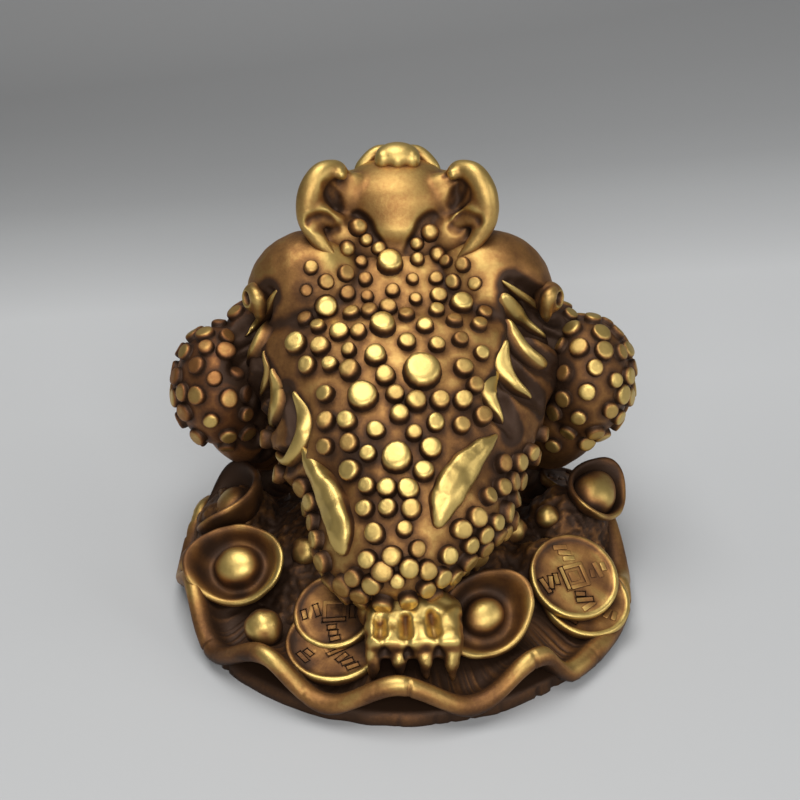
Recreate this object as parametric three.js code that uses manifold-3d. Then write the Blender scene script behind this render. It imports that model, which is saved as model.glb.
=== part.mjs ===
// A cast brass money toad: a three-legged toad with its head raised, sitting on a heap of coins,
// boat-shaped ingots and pearls in a curled lotus leaf. It is one casting, so it is one solid.
// Millimetres, +Z up. The origin is the middle of the flat underside, and the toad looks along +Y.
import * as THREE from "three";
import { mergeVertices } from "three/addons/utils/BufferGeometryUtils.js";
import Module from "manifold-3d";

const wasm = await Module();
wasm.setup();

// Driving sizes
const toadHeight = 92; // floor to the top of the nose knob; the toad keeps its pose as shares of it
const leafRadius = 48.5; // lotus leaf, mean radius of the curled rim
const leafRimHeight = 8.3; // mean height of the rim above the floor
const leafWaveHeight = 2.9; // how far the rim rises and falls
const leafThickness = 2.4;
const leafWaves = 10;
const plateRadius = 47.5; // the flat lower plate that the figure stands on
const plateHeight = 4;
const coinRadius = 9.8;
const coinThickness = 1.8;
const ingotRadius = 10.2; // half the length of a boat-shaped ingot
const ingotHeight = 6.5;
const pearlRadius = 3.9;
const wartRadius = 2.4; // an ordinary wart; the large ones are multiples of it
const wartHeight = 1.7;
const wartPitch = 10.6; // from wart to wart along the back

// The toad's own unit: lengths below are in hundredths of this, so the figure keeps its proportions
const unit = toadHeight / 92;
const at = (x, y, z) => new THREE.Vector3(x, y, z).multiplyScalar(unit);
const radians = THREE.MathUtils.degToRad;
const UP = new THREE.Vector3(0, 0, 1);
const ACROSS = new THREE.Vector3(1, 0, 0);
const BACKWARDS = new THREE.Vector3(0, -1, 0);

// A closed geometry as a solid, with its faces turned outwards
function solidOf(geometry) {
  const bare = geometry.clone();
  bare.deleteAttribute("normal");
  bare.deleteAttribute("uv");
  const merged = mergeVertices(bare, 1e-4);
  const triVerts = new Uint32Array(merged.index.array);
  const vertProperties = merged.getAttribute("position").array;
  let volume = 0;
  const corner = [0, 1, 2].map(() => new THREE.Vector3());
  for (let i = 0; i < triVerts.length; i += 3) {
    corner.forEach((point, k) => point.fromArray(vertProperties, 3 * triVerts[i + k]));
    volume += corner[0].dot(corner[1].cross(corner[2]));
  }
  if (volume < 0) {
    for (let i = 0; i < triVerts.length; i += 3) {
      [triVerts[i + 1], triVerts[i + 2]] = [triVerts[i + 2], triVerts[i + 1]];
    }
  }
  return new wasm.Manifold(new wasm.Mesh({ numProp: 3, vertProperties, triVerts }));
}

function geometryOf(solid) {
  const mesh = solid.getMesh();
  const positions = new Float32Array(mesh.numVert * 3);
  for (let i = 0; i < mesh.numVert; i += 1) {
    positions.set(mesh.vertProperties.subarray(i * mesh.numProp, i * mesh.numProp + 3), i * 3);
  }
  const geometry = new THREE.BufferGeometry();
  geometry.setAttribute("position", new THREE.BufferAttribute(positions, 3));
  geometry.setIndex(new THREE.BufferAttribute(mesh.triVerts, 1));
  return geometry;
}

const joined = (solids) => solids.reduce((whole, solid) => whole.add(solid));

function reshape(geometry, move) {
  const positions = geometry.getAttribute("position");
  const point = new THREE.Vector3();
  for (let i = 0; i < positions.count; i += 1) {
    point.fromBufferAttribute(positions, i);
    move(point);
    positions.setXYZ(i, point.x, point.y, point.z);
  }
  return geometry;
}

// A rotation that carries +Z to the given direction
const facing = (direction) => new THREE.Quaternion().setFromUnitVectors(UP, direction.clone().normalize());

function blob(centre, radii, around = 12, along = 7, turn = new THREE.Quaternion()) {
  const geometry = new THREE.SphereGeometry(1, around, along).rotateX(Math.PI / 2);
  geometry.scale(radii[0] * unit, radii[1] * unit, radii[2] * unit);
  geometry.applyQuaternion(turn);
  geometry.translate(centre.x, centre.y, centre.z);
  return solidOf(geometry);
}

// The value of a list of stations at a share from 0 to 1 of the way along it
function station(values, share) {
  const place = Math.min(Math.max(share, 0), 1) * (values.length - 1);
  const low = Math.min(Math.floor(place), values.length - 2);
  const blend = place - low;
  const eased = blend * blend * (3 - 2 * blend);
  return values[low] + (values[low + 1] - values[low]) * eased;
}

// A limb, ridge or lip: a round-ended tube along a curve, with a radius and a flattening for each station
function limb(path, radii, around = 8, along = 6, flat = 1, up = UP) {
  const curve = new THREE.CatmullRomCurve3(path);
  const tangent = new THREE.Vector3();
  const side = new THREE.Vector3();
  const lift = new THREE.Vector3();
  const centre = new THREE.Vector3();
  return solidOf(
    reshape(new THREE.SphereGeometry(1, around, along), (point) => {
      const share = Math.acos(THREE.MathUtils.clamp(point.y, -1, 1)) / Math.PI;
      const ring = Math.hypot(point.x, point.z);
      const closing = Math.sqrt(Math.max(0, 1 - Math.abs(2 * share - 1) ** 5));
      const radius = ring < 1e-6 ? 0 : (station(radii, share) * unit * closing) / ring;
      curve.getPoint(share, centre);
      curve.getTangent(share, tangent);
      side.crossVectors(tangent, up).normalize();
      lift.crossVectors(side, tangent).normalize();
      const [x, z] = [point.x * radius, point.z * radius * (flat.length ? station(flat, share) : flat)];
      point.copy(centre).addScaledVector(side, x).addScaledVector(lift, z);
    }),
  );
}

const mirrored = (path, sign) => path.map((point) => new THREE.Vector3(point.x * sign, point.y, point.z));
const BOTH_SIDES = [-1, 1];

// The height and reach of the leaf's curled rim at an angle round the figure. It waves, and at the right
// a stretch of it lies low and flat.
const flatMiddle = radians(-29);
const flatDrop = 4;
const flatReach = 1.2;
const flatShare = (angle) =>
  1 - THREE.MathUtils.smoothstep(Math.abs(angle - flatMiddle), radians(15), radians(23));
const leafWave = (angle) => Math.cos(leafWaves * (angle + radians(91))) * (1 - flatShare(angle));
const rimRadius = (angle) => leafRadius - 0.6 * leafWave(angle) + flatReach * flatShare(angle);
function rimHeight(angle) {
  const wave = leafWaveHeight * leafWave(angle) * (1 + 0.35 * Math.cos(angle) ** 2);
  return leafRimHeight + wave - flatDrop * flatShare(angle);
}

// The heap that fills the leaf, which the coins and ingots are pressed into
const heapTop = 19;
const heapRadius = leafRadius - 10.5;
const spread = leafRadius / 48; // how far out the treasure lies

// The leaf is turned as a dish and its rim is then waved; under each crest of the wave it stands clear
function lotusLeaf() {
  const rings = leafWaves * 5;
  const root = heapRadius - 1; // radius at which the leaf leaves the heap
  const outline = [
    [0, plateHeight - 1],
    [root, plateHeight - 1],
    [leafRadius, leafRimHeight - leafThickness * 0.5],
    [leafRadius + 0.8, leafRimHeight + leafThickness * 0.2],
    [leafRadius - 1.4, leafRimHeight + leafThickness * 0.5],
    [root, leafRimHeight - 1],
  ].map(([radius, height]) => new THREE.Vector2(radius, height));
  outline.push(new THREE.Vector2(0, leafRimHeight));
  const dish = new THREE.LatheGeometry(outline, rings).rotateX(Math.PI / 2);
  return solidOf(
    reshape(dish, (point) => {
      const radius = Math.hypot(point.x, point.y);
      const angle = Math.atan2(point.y, point.x);
      const share = THREE.MathUtils.smoothstep(radius, root - 4, leafRadius);
      const stretch = 1 + share * (rimRadius(angle) / leafRadius - 1);
      point.x *= stretch;
      point.y *= stretch;
      point.z = Math.max(point.z + share * (rimHeight(angle) - leafRimHeight), 0.8);
    }),
  );
}

// What would reach below the floor is cut away, up to the middle of the plate
function belowFloor() {
  const side = plateRadius * 4;
  return solidOf(new THREE.BoxGeometry(side, side, side).translate(0, 0, (plateHeight - side) / 2));
}

function lowerPlate() {
  const plate = new THREE.CylinderGeometry(plateRadius - 0.8, plateRadius, plateHeight, 30);
  return solidOf(plate.rotateX(Math.PI / 2).translate(0, 0, plateHeight / 2));
}

// The heap lies under the belly, with a bank at each side under the hindmost ingots and one that the
// upper coin at the right leans on. Each bank is [x, y, radius, half height].
const BANKS = [
  [-36, 9, 11, 15],
  [36, 9, 11, 15],
  [29, -8, 8, 13.5],
];

function heap() {
  const outline = [
    [0, 1],
    [heapRadius, 1],
    [heapRadius, heapTop * 0.35],
    [heapRadius * 0.8, heapTop * 0.65],
    [heapRadius * 0.5, heapTop * 0.95],
    [0, heapTop],
  ].map(([radius, height]) => new THREE.Vector2(radius, height));
  const mound = new THREE.LatheGeometry(outline, 14).rotateX(Math.PI / 2).translate(0, 2, 0);
  const banks = BANKS.map(([x, y, radius, half]) => {
    const bank = new THREE.SphereGeometry(1, 8, 5).rotateX(Math.PI / 2);
    bank.scale(radius * spread, radius * spread, half);
    return solidOf(bank.translate(x * spread, y * spread, plateHeight + 1));
  });
  return joined([solidOf(mound), ...banks]).subtract(belowFloor());
}

const place = (geometry, centre, normal, spin = 0) => {
  geometry.rotateZ(spin);
  geometry.applyQuaternion(facing(normal));
  return geometry.translate(centre.x, centre.y, centre.z);
};

function coin(centre, normal, radius = coinRadius) {
  const disc = new THREE.CylinderGeometry(radius - 0.3, radius, coinThickness, 12);
  return solidOf(place(disc.rotateX(Math.PI / 2), centre, normal));
}

// A boat-shaped ingot: a dish with a turned-up prow and stern, and a dome in the middle
function ingot(centre, normal, spin, size = 1) {
  const radius = ingotRadius * size;
  const height = ingotHeight * size;
  const outline = [
    [0, -height * 0.55],
    [radius * 0.6, -height * 0.45],
    [radius, height * 0.35],
    [radius * 0.62, -height * 0.05],
    [radius * 0.44, height * 0.42],
    [0, height * 0.66],
  ].map(([across, up]) => new THREE.Vector2(across, up));
  const dish = new THREE.LatheGeometry(outline, 10).rotateX(Math.PI / 2);
  reshape(dish, (point) => {
    const reach = Math.abs(point.x) / radius;
    point.z += height * 0.5 * reach ** 3;
    point.x *= 1 + 0.1 * reach ** 2;
    point.y *= 0.9;
  });
  return solidOf(place(dish, centre, normal, spin));
}

const pearl = (centre, size = 1) => {
  const radius = (pearlRadius * size) / unit;
  return blob(centre, [radius, radius, radius], 6, 5);
};

const tilted = (towardsX, towardsY) => new THREE.Vector3(towardsX, towardsY, 1).normalize();

// The treasure: ingots, coins and pearls lean outwards round the heap
function treasure() {
  const on = (x, y, z) => new THREE.Vector3(x * spread, y * spread, z);
  return joined([
    ingot(on(-34.8, -11, 14), tilted(-0.25, -0.75), radians(-8), 0.97),
    ingot(on(-36.8, 8, 16.5), tilted(-0.85, 0.1), radians(80), 0.95),
    ingot(on(16.5, -28, 13.8), tilted(0.1, -0.8), radians(40), 0.95),
    ingot(on(41.8, 9.5, 18.8), tilted(0.5, -0.35), radians(70), 0.76),
    ingot(on(-19, 39, 13), tilted(-0.2, 0.7), radians(-20)),
    coin(on(36, -14, 13.6), tilted(0.25, -0.55), coinRadius),
    coin(on(38.5, -15.5, 8.9), tilted(0.2, -0.35), coinRadius),
    coin(on(-14, -25.4, 13), tilted(-0.2, -0.45), coinRadius * 0.9),
    coin(on(-14, -31.5, 9.5), tilted(-0.04, -0.24), coinRadius * 1.05),
    coin(on(13, 41, 11), tilted(0.1, 0.45), coinRadius),
    coin(on(39.5, 25.5, 10.4), tilted(0.35, 0.25), coinRadius * 0.9),
    pearl(on(-28.7, -28.3, 11.3), 1.05),
    pearl(on(-44.8, -2.5, 9.2)),
    pearl(on(23.8, -0.5, 16.6), 0.8),
    pearl(on(31.5, 4, 17), 0.7),
    pearl(on(-20.5, -8, 16), 0.9),
  ]);
}

// The torso lies on a slope, broad at the shoulders and narrow at the rump.
// Its tail end swings to the left. Each station gives the middle as [x, y, z], then half the breadth
// and half the depth.
const TORSO = [
  [-6, -32.5, 21, 14.5, 9],
  [-3.5, -24, 27, 16.5, 11.5],
  [0, -13, 33, 21.5, 13.5],
  [0, -3, 38.3, 27.5, 15.8],
  [0, 6, 43, 30.5, 17],
  [0, 15, 48.5, 34.5, 17],
  [0, 25, 57, 32, 15],
  [0, 38.5, 75, 24, 13],
];
const torsoSlope = radians(37);
const torsoCentre = at(0, 2.5, 33.5);
const torsoLength = 90;
const ALONG = new THREE.Vector3(0, Math.cos(torsoSlope), Math.sin(torsoSlope));
const THROUGH = new THREE.Vector3(0, -Math.sin(torsoSlope), Math.cos(torsoSlope));

function torso() {
  const path = TORSO.map(([x, y, z]) => at(x, y, z));
  const breadth = TORSO.map((part) => part[3]);
  const depth = TORSO.map((part) => part[4] / part[3]);
  return limb(path, breadth, 16, 11, depth);
}

// The bent forelegs: a warty ball of an upper arm at each side, then the forearm down to the foot
const elbow = (sign) => at(40.4 * sign, 20, 42.2 + sign);
const upperArm = [9.9, 12.5, 13.4];

function foreleg(sign) {
  const forearm = [at(37.5, 19, 40), at(35, 24, 27), at(32, 34, 16)];
  return joined([
    blob(elbow(sign), upperArm, 10, 8),
    limb(mirrored([at(20, 29, 55), at(37, 24.5, 45)], sign), [9, 9.4], 7, 4),
    limb(mirrored(forearm, sign), [9, 8.8, 7.2, 5], 7, 5),
  ]);
}

// The digits of a foot, side by side, which bend down at the knuckle
function digits(count, root, reach, drop, spread, thick) {
  return Array.from({ length: count }, (_, i) => {
    const place = i - (count - 1) / 2;
    const heel = root.clone().addScaledVector(ACROSS, place * spread * 0.75 * unit);
    const knuckle = heel.clone().add(at(place * spread * 0.25, reach, -0.6));
    const tip = knuckle.clone().add(at(0, Math.sign(reach) * 2.6, -drop));
    return limb([heel, knuckle, tip], [thick, thick * 1.05, thick * 0.6], 4, 4);
  });
}

// The trunk: the torso with its upper back, neck, shoulders and belly, and the warty thigh at one side
function trunk() {
  const thighTurn = new THREE.Quaternion().setFromAxisAngle(THROUGH, radians(35));
  const parts = [
    torso(),
    blob(at(0, 24, 40), [28, 15, 25], 10, 6),
    blob(at(0, 0, 22), [18, 26, 17], 8, 5),
    blob(at(11, -14, 30), [12.5, 9, 11], 9, 6, thighTurn),
  ];
  BOTH_SIDES.forEach((sign) => parts.push(blob(at(19 * sign - 0.6, 26, 60.5), [14.6, 12, 15], 12, 7)));
  return joined(parts);
}

function hindFoot() {
  return joined([
    blob(at(2, -30, 17), [10.5, 7, 6], 8, 5),
    ...digits(4, at(1.8, -31.5, 16.5), -7.5, 8.5, 5.4, 3),
  ]);
}

function forefeet() {
  return joined(
    BOTH_SIDES.flatMap((sign) => [
      blob(at(32 * sign, 34, 16), [7.5, 6, 5], 6, 4),
      ...digits(3, at(32 * sign, 35, 15.5), 5.5, 7, 5.2, 2.7),
    ]),
  );
}

// The raised head: brow and nose knob above a wide closed mouth, with a cupped crest behind each eye.
// It stands a little to the left of the body's middle.
function head() {
  const middle = at(-1.2, 0, 0);
  const on = (x, y, z) => at(x, y, z).add(middle);
  const sided = (path, sign) => mirrored(path, sign).map((point) => point.add(middle));
  const brow = [on(0, 44, 79), on(0, 38.5, 81), on(0, 33.5, 79), on(0, 29.3, 74.7), on(0, 26.9, 70.6)];
  const parts = [
    blob(on(0, 37, 63), [16, 10, 12], 7, 4),
    blob(on(0, 38.5, 74.5), [14, 10, 12], 9, 6),
    limb(brow, [8.5, 12.6, 12.6, 8.4, 1.3], 9, 8, [0.6, 0.6, 0.64, 0.72, 0.8]),
    blob(on(0, 44.5, 81), [9, 7, 4.6], 8, 5),
    blob(on(0, 37, 88.5), [4.8, 3.2, 3], 8, 5),
  ];
  const lips = [
    [75, 45.5, 2.3],
    [70, 46, 2.6],
  ];
  lips.forEach(([height, reach, thick]) => {
    const corner = (sign) => [on(15.5 * sign, 35, height - 7), on(9.5 * sign, reach - 2, height - 0.5)];
    const path = [...corner(-1), on(0, reach + 2, height + 3), ...corner(1).reverse()];
    parts.push(limb(path, [thick * 0.8, thick, thick * 0.8], 4, 7));
  });
  BOTH_SIDES.forEach((sign) => {
    const upperRim = [at(12, 31.3, 91.2), at(16, 28.5, 91), at(18.7, 25.7, 84)];
    const rim = [...upperRim, at(17.6, 23.2, 77), at(12, 22, 70.5)];
    parts.push(limb(sided(rim, sign), [1.2, 2.5, 2.6, 2.3, 0.9], 4, 8, 1, BACKWARDS));
    parts.push(blob(on(14.3 * sign, 29.6, 80.8), [5, 3.6, 9], 7, 5));
    parts.push(blob(on(12 * sign, 40, 80), [4.6, 4.6, 4.4], 7, 5));
  });
  return joined(parts);
}

// Places on a surface are found by looking in from outside, towards a point within it
const body = trunk();
const arms = joined(BOTH_SIDES.map(foreleg));
const trunkSkin = new THREE.Mesh(geometryOf(body), new THREE.MeshBasicMaterial({ side: THREE.DoubleSide }));
const armSkin = new THREE.Mesh(geometryOf(arms), trunkSkin.material);
const probe = new THREE.Raycaster();

function seen(skin, target, outward) {
  probe.set(target.clone().addScaledVector(outward, 90 * unit), outward.clone().negate());
  const hit = probe.intersectObject(skin)[0];
  return hit && { point: hit.point, normal: hit.face.normal.clone() };
}

// A place on the back, by its distance along the spine and the angle round it
function onBack(along, angle) {
  const target = torsoCentre.clone().addScaledVector(ALONG, along * unit);
  const outward = THROUGH.clone().multiplyScalar(Math.cos(angle)).addScaledVector(ACROSS, Math.sin(angle));
  return seen(trunkSkin, target, outward);
}

// A ridge that follows the skin through places given as [along, degrees round, height above the skin]
function ridge(places, radii, around, along, flat) {
  const path = places.map(([share, degrees, lift]) => {
    const spot = onBack(share, radians(degrees));
    return spot.point.clone().addScaledVector(spot.normal, lift * unit);
  });
  const up = onBack(places[0][0], radians(places[0][1])).normal;
  return { path, solid: limb(path, radii, around, along, flat, up) };
}

// The flame-shaped fins down each flank, the curl above them and the drop-shaped ridge that ends the row.
// Each side gives the first and last fin as [along, degrees round], and the ridge as [along, degrees, lift].
const FIN_ROWS = [
  {
    sign: -1,
    count: 4,
    first: [30, 68],
    last: [8, 54],
    sweep: [-14, 10],
    drop: [
      [-4, 56, 0.4],
      [-11, 48, 1.1],
      [-19, 42, 1.2],
      [-27, 38, 0.6],
    ],
  },
  {
    sign: 1,
    count: 5,
    first: [33, 66],
    last: [13, 46],
    sweep: [-11, 11],
    drop: [
      [-1, 51, 0.4],
      [-8, 38, 1.1],
      [-15, 27, 1.2],
      [-23, 16, 0.6],
    ],
  },
];

function fins() {
  const made = [];
  FIN_ROWS.forEach(({ sign, count, first, last, sweep, drop }) => {
    for (let i = 0; i < count; i += 1) {
      const share = i / (count - 1);
      const along = first[0] + (last[0] - first[0]) * share;
      const turn = first[1] + (last[1] - first[1]) * share;
      const places = [
        [along, sign * turn, 0.5],
        [along + sweep[0] * 0.4, sign * (turn + sweep[1] * 0.1), 1.6],
        [along + sweep[0] * 0.8, sign * (turn + sweep[1] * 0.5), 1.6],
        [along + sweep[0], sign * (turn + sweep[1]), 0.3],
      ];
      made.push(ridge(places, [0.8, 2.1, 2.3, 0.8], 4, 5, 1));
    }
    const round = drop.map(([along, degrees, lift]) => [along, sign * degrees, lift]);
    made.push(ridge(round, [0.7, 1.9, 3.1, 2.2], 6, 6, 0.8));
    const curl = at(31.5 * sign, 21.5, 62.5);
    made.push({ path: [curl, curl.clone().add(at(0, 1, 1))], solid: blob(curl, [3.6, 3.6, 4], 5, 4) });
  });
  return made;
}

// The same scatter of numbers from 0 to 1 every time
const scatter = (seed) => {
  const wave = Math.sin(seed * 12.9898) * 43758.5453;
  return wave - Math.floor(wave);
};

// Large warts down the back, as [along, degrees round, size]
const LARGE_WARTS = [
  [32, -5, 1.45],
  [20, -6, 1.3],
  [9, 7, 1.85],
  [3, -12, 1.55],
  [-8, 0, 1.6],
  [21, 34, 1.3],
  [20, -36, 1.3],
];

function wart(spot, size) {
  const radius = wartRadius * size;
  const height = wartHeight * Math.sqrt(size) + 1;
  const stub = new THREE.CylinderGeometry(radius * 0.78, radius, height, 5).rotateX(Math.PI / 2);
  stub.translate(0, 0, height / 2 - 1);
  return solidOf(place(stub, spot.point, spot.normal));
}

function warts(ridges) {
  const kept = [];
  const solids = [];
  const ridgePoints = ridges.flatMap(({ path }) => new THREE.CatmullRomCurve3(path).getPoints(8));
  const add = (spot, size) => {
    if (!spot) return;
    const radius = wartRadius * size;
    if (kept.some((other) => other.point.distanceTo(spot.point) < (other.radius + radius) * 1.05)) return;
    if (ridgePoints.some((point) => point.distanceTo(spot.point) < radius + 1.4 * unit)) return;
    kept.push({ point: spot.point, radius });
    solids.push(wart(spot, size));
  };
  LARGE_WARTS.forEach(([along, degrees, size]) => add(onBack(along, radians(degrees)), size));
  const rows = Math.round((torsoLength * 0.85 * unit) / (wartPitch * 0.87));
  for (let row = 0; row <= rows; row += 1) {
    const share = row / rows;
    const along = torsoLength * (0.4 - 0.85 * share);
    const girth = station([11, 26, 31, 30], 1 - share) * unit;
    const step = wartPitch / Math.max(girth, 8);
    const reach = radians(along > 24 ? 48 : 82);
    for (let i = -20; i <= 20; i += 1) {
      const seed = row * 41 + i;
      const angle = (i + (row % 2) / 2 + 0.3 * (scatter(seed) - 0.5)) * step;
      if (Math.abs(angle) > reach) continue;
      add(onBack(along + 1.2 * (scatter(seed + 7) - 0.5), angle), 0.85 + 0.35 * scatter(seed + 3));
    }
  }
  BOTH_SIDES.forEach((sign) => {
    const count = 16;
    for (let i = 0; i < count; i += 1) {
      const height = 1 - (2 * i + 1) / count;
      const turn = i * radians(137.5);
      const ring = Math.sqrt(1 - height * height);
      const way = new THREE.Vector3(ring * Math.cos(turn), ring * Math.sin(turn), height);
      const outer = way.x * sign > -0.15 && way.y < 0.75 && height > -0.75;
      if (outer) add(seen(armSkin, elbow(sign), way), 1.1 + 0.25 * scatter(i));
    }
  });
  return solids;
}

function moneyToad() {
  const ridges = fins();
  const figure = joined([body, arms, head(), hindFoot(), forefeet(), ...ridges.map(({ solid }) => solid)]);
  const grounded = joined([lowerPlate(), lotusLeaf(), heap(), treasure(), figure]);
  const brass = new THREE.MeshStandardMaterial({ color: 0x8a6a35, roughness: 0.35, metalness: 0.9 });
  const mesh = new THREE.Mesh(geometryOf(joined([grounded, ...warts(ridges)])), brass);
  mesh.name = "money_toad";
  return mesh;
}

const figure = new THREE.Group();
figure.add(moneyToad());

export default figure;
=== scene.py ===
"""Builds the looks of a cast brass money toad on a lotus leaf around its solid model.

Lengths inside the shaping functions are millimetres; finished meshes are scaled to metres.
The toad looks along +Y, and the camera stands behind it and above it.
"""

import math

import bmesh
import bpy
import numpy as np
from mathutils import Matrix, Quaternion, Vector, noise
from mathutils.bvhtree import BVHTree


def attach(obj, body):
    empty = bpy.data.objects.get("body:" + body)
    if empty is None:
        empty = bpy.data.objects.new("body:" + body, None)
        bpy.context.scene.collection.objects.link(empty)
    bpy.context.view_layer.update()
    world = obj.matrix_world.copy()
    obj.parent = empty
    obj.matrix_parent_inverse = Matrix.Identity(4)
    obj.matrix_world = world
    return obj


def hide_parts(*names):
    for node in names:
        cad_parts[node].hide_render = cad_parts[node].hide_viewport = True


bl_info = {
    "name": "Brass money toad",
    "version": (1, 0, 0),
    "blender": (4, 5, 0),
    "location": "3D View > Sidebar > Toad",
    "description": "Models a cast brass three-legged toad on a heap of coins in a lotus leaf",
    "category": "Object",
}

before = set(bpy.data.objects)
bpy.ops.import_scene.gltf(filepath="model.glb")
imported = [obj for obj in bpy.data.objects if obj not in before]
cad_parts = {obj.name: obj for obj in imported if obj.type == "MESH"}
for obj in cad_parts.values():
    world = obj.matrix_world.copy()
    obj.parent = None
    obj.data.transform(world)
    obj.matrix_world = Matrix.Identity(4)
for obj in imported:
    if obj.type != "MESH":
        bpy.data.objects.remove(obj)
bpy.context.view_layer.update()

MM = 0.001
UP = Vector((0, 0, 1))
ACROSS = Vector((1, 0, 0))
SIDES = (-1, 1)
NAMED_SIDES = ((-1, "left"), (1, "right"))
TINY = 1e-6
FAR = 1e9

# The camera, in millimetres; marks on the toad are laid out as it sees them
AIM = Vector((-0.65, 7.5, 45))
TILT = math.radians(31)
REACH = 430
LOOK = Vector((0, math.cos(TILT), -math.sin(TILT)))
RISE = Vector((0, math.sin(TILT), math.cos(TILT)))
EYE = AIM - LOOK * REACH


def length(name, description, millimetres):
    """A length that the user can change, with its default in millimetres."""
    return bpy.props.FloatProperty(
        name=name, description=description, default=millimetres * MM, unit="LENGTH"
    )


def tint(name, description, default):
    """A colour that the user can change."""
    return bpy.props.FloatVectorProperty(
        name=name, description=description, default=default, subtype="COLOR", size=3
    )


class ToadSizes(bpy.types.PropertyGroup):
    """Sizes and colours of the figure."""

    body_grain: length("Body grain", "Mesh size of the toad's back and forelegs", 0.485)
    head_grain: length("Head grain", "Mesh size of the head, the hind foot and the small forms", 0.36)
    heap_grain: length("Heap grain", "Mesh size of the heap", 0.62)
    wart_radius: length("Wart radius", "Radius of an ordinary wart", 2.05)
    wart_height: length("Wart height", "Height of an ordinary wart above the skin", 1.95)
    wart_pitch: length("Wart pitch", "Distance from one wart of the back to the next", 4.85)
    leaf_radius: length("Leaf radius", "Mean radius of the leaf's curled rim", 48.5)
    leaf_rim_height: length("Leaf rim height", "Mean height of the leaf's rim", 8.3)
    leaf_wave_height: length("Leaf wave height", "How far the rim rises and dips", 2.9)
    plate_radius: length("Plate radius", "Radius of the plate under the leaf", 47.5)
    coin_radius: length("Coin radius", "Radius of a coin", 9.8)
    coin_thickness: length("Coin thickness", "Thickness of a coin inside its rim", 1.8)
    ingot_radius: length("Ingot radius", "Half the length of a boat-shaped ingot", 10.2)
    ingot_height: length("Ingot height", "Height that the shares of an ingot's outline are taken of", 6.5)
    pearl_radius: length("Pearl radius", "Radius of an ordinary pearl", 3.9)
    patina: tint("Patina", "Dark brown left in the recesses", (0.040, 0.018, 0.008))
    tarnish: tint("Tarnish", "Brown brass of the middle heights", (0.275, 0.118, 0.038))
    polish: tint("Polish", "Bright brass of the worn high points", (0.62, 0.445, 0.145))


def size(name):
    """A size of the figure in millimetres."""
    return getattr(bpy.context.scene.toad_sizes, name) / MM


def colour(name):
    return tuple(getattr(bpy.context.scene.toad_sizes, name))


# Curves and stations


def station(values, share):
    """The value a share of the way along a list of stations."""
    if not isinstance(values, (list, tuple)):
        return values
    place = min(max(share, 0.0), 1.0) * (len(values) - 1)
    low = min(int(place), len(values) - 2)
    blend = place - low
    return values[low] + (values[low + 1] - values[low]) * (blend * blend * (3 - 2 * blend))


def on_curve(points, share):
    """A point and the direction of travel on a smooth curve through points."""
    place = min(max(share, 0.0), 1.0) * (len(points) - 1)
    low = min(int(place), len(points) - 2)
    t = place - low
    b, c = points[low], points[low + 1]
    a = points[low - 1] if low else b * 2 - c
    d = points[low + 2] if low + 2 < len(points) else c * 2 - b
    bend, twist = 2 * a - 5 * b + 4 * c - d, 3 * b - a - 3 * c + d
    spot = 0.5 * (2 * b + (c - a) * t + bend * t**2 + twist * t**3)
    way = 0.5 * ((c - a) + 2 * bend * t + 3 * twist * t**2)
    return spot, way.normalized()


def spots_along(points, parts):
    """Spots at the ends of equal parts of a curve."""
    return [on_curve(points, k / parts)[0] for k in range(parts + 1)]


def to_side(place, side):
    """A place that is given for the right side, on the side that is wanted."""
    x, y, z = place
    return (x * side, y, z)


def mirrored(points, side):
    return [Vector(to_side(point, side)) for point in points]


def scatter(seed):
    """A number from 0 to 1 that looks random and is the same every time."""
    wave = math.sin(seed * 12.9898) * 43758.5453
    return wave - math.floor(wave)


def eased(value, low, high):
    share = np.clip((value - low) / (high - low), 0.0, 1.0)
    return share * share * (3 - 2 * share)


# Forms


MERGED = 1e-4
PLAIN_WEAR = 0.3
RIDGE_END_WEAR = 0.35


def new_shape():
    shape = bmesh.new()
    shape.verts.layers.float.new("wear")
    return shape


def egg(shape, centre, half, turn=None, around=40, rings=26):
    """A ball stretched to three half sizes, turned and placed."""
    made = bmesh.ops.create_uvsphere(shape, u_segments=around, v_segments=rings, radius=1)["verts"]
    for vert in made:
        spot = Vector((vert.co.x * half[0], vert.co.y * half[1], vert.co.z * half[2]))
        if turn:
            spot = turn @ spot
        vert.co = spot + Vector(centre)
    return made


def share_down(vert):
    """How far down a ball one of its points is, from 0 at the top to 1 at the bottom."""
    return math.acos(max(-1.0, min(1.0, vert.co.z))) / math.pi


def openness(share, power):
    """How wide a rounded roll is open along its length: 0 at both ends and 1 between them."""
    return math.sqrt(max(0.0, 1 - abs(2 * share - 1) ** power))


def roll(shape, points, radii, depth=1.0, up=UP, around=24, rings=28, power=5):
    """A round-ended roll along a curve, with a radius and a depth share for each station."""
    points = [Vector(p) for p in points]
    made = bmesh.ops.create_uvsphere(shape, u_segments=around, v_segments=rings, radius=1)["verts"]
    for vert in made:
        share = share_down(vert)
        ring = math.hypot(vert.co.x, vert.co.y)
        radius = station(radii, share) * openness(share, power) / ring if ring > TINY else 0.0
        spot, way = on_curve(points, share)
        side = way.cross(up).normalized()
        lift = side.cross(way).normalized()
        vert.co = spot + (side * vert.co.x + lift * vert.co.y * station(depth, share)) * radius
    return made


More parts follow.
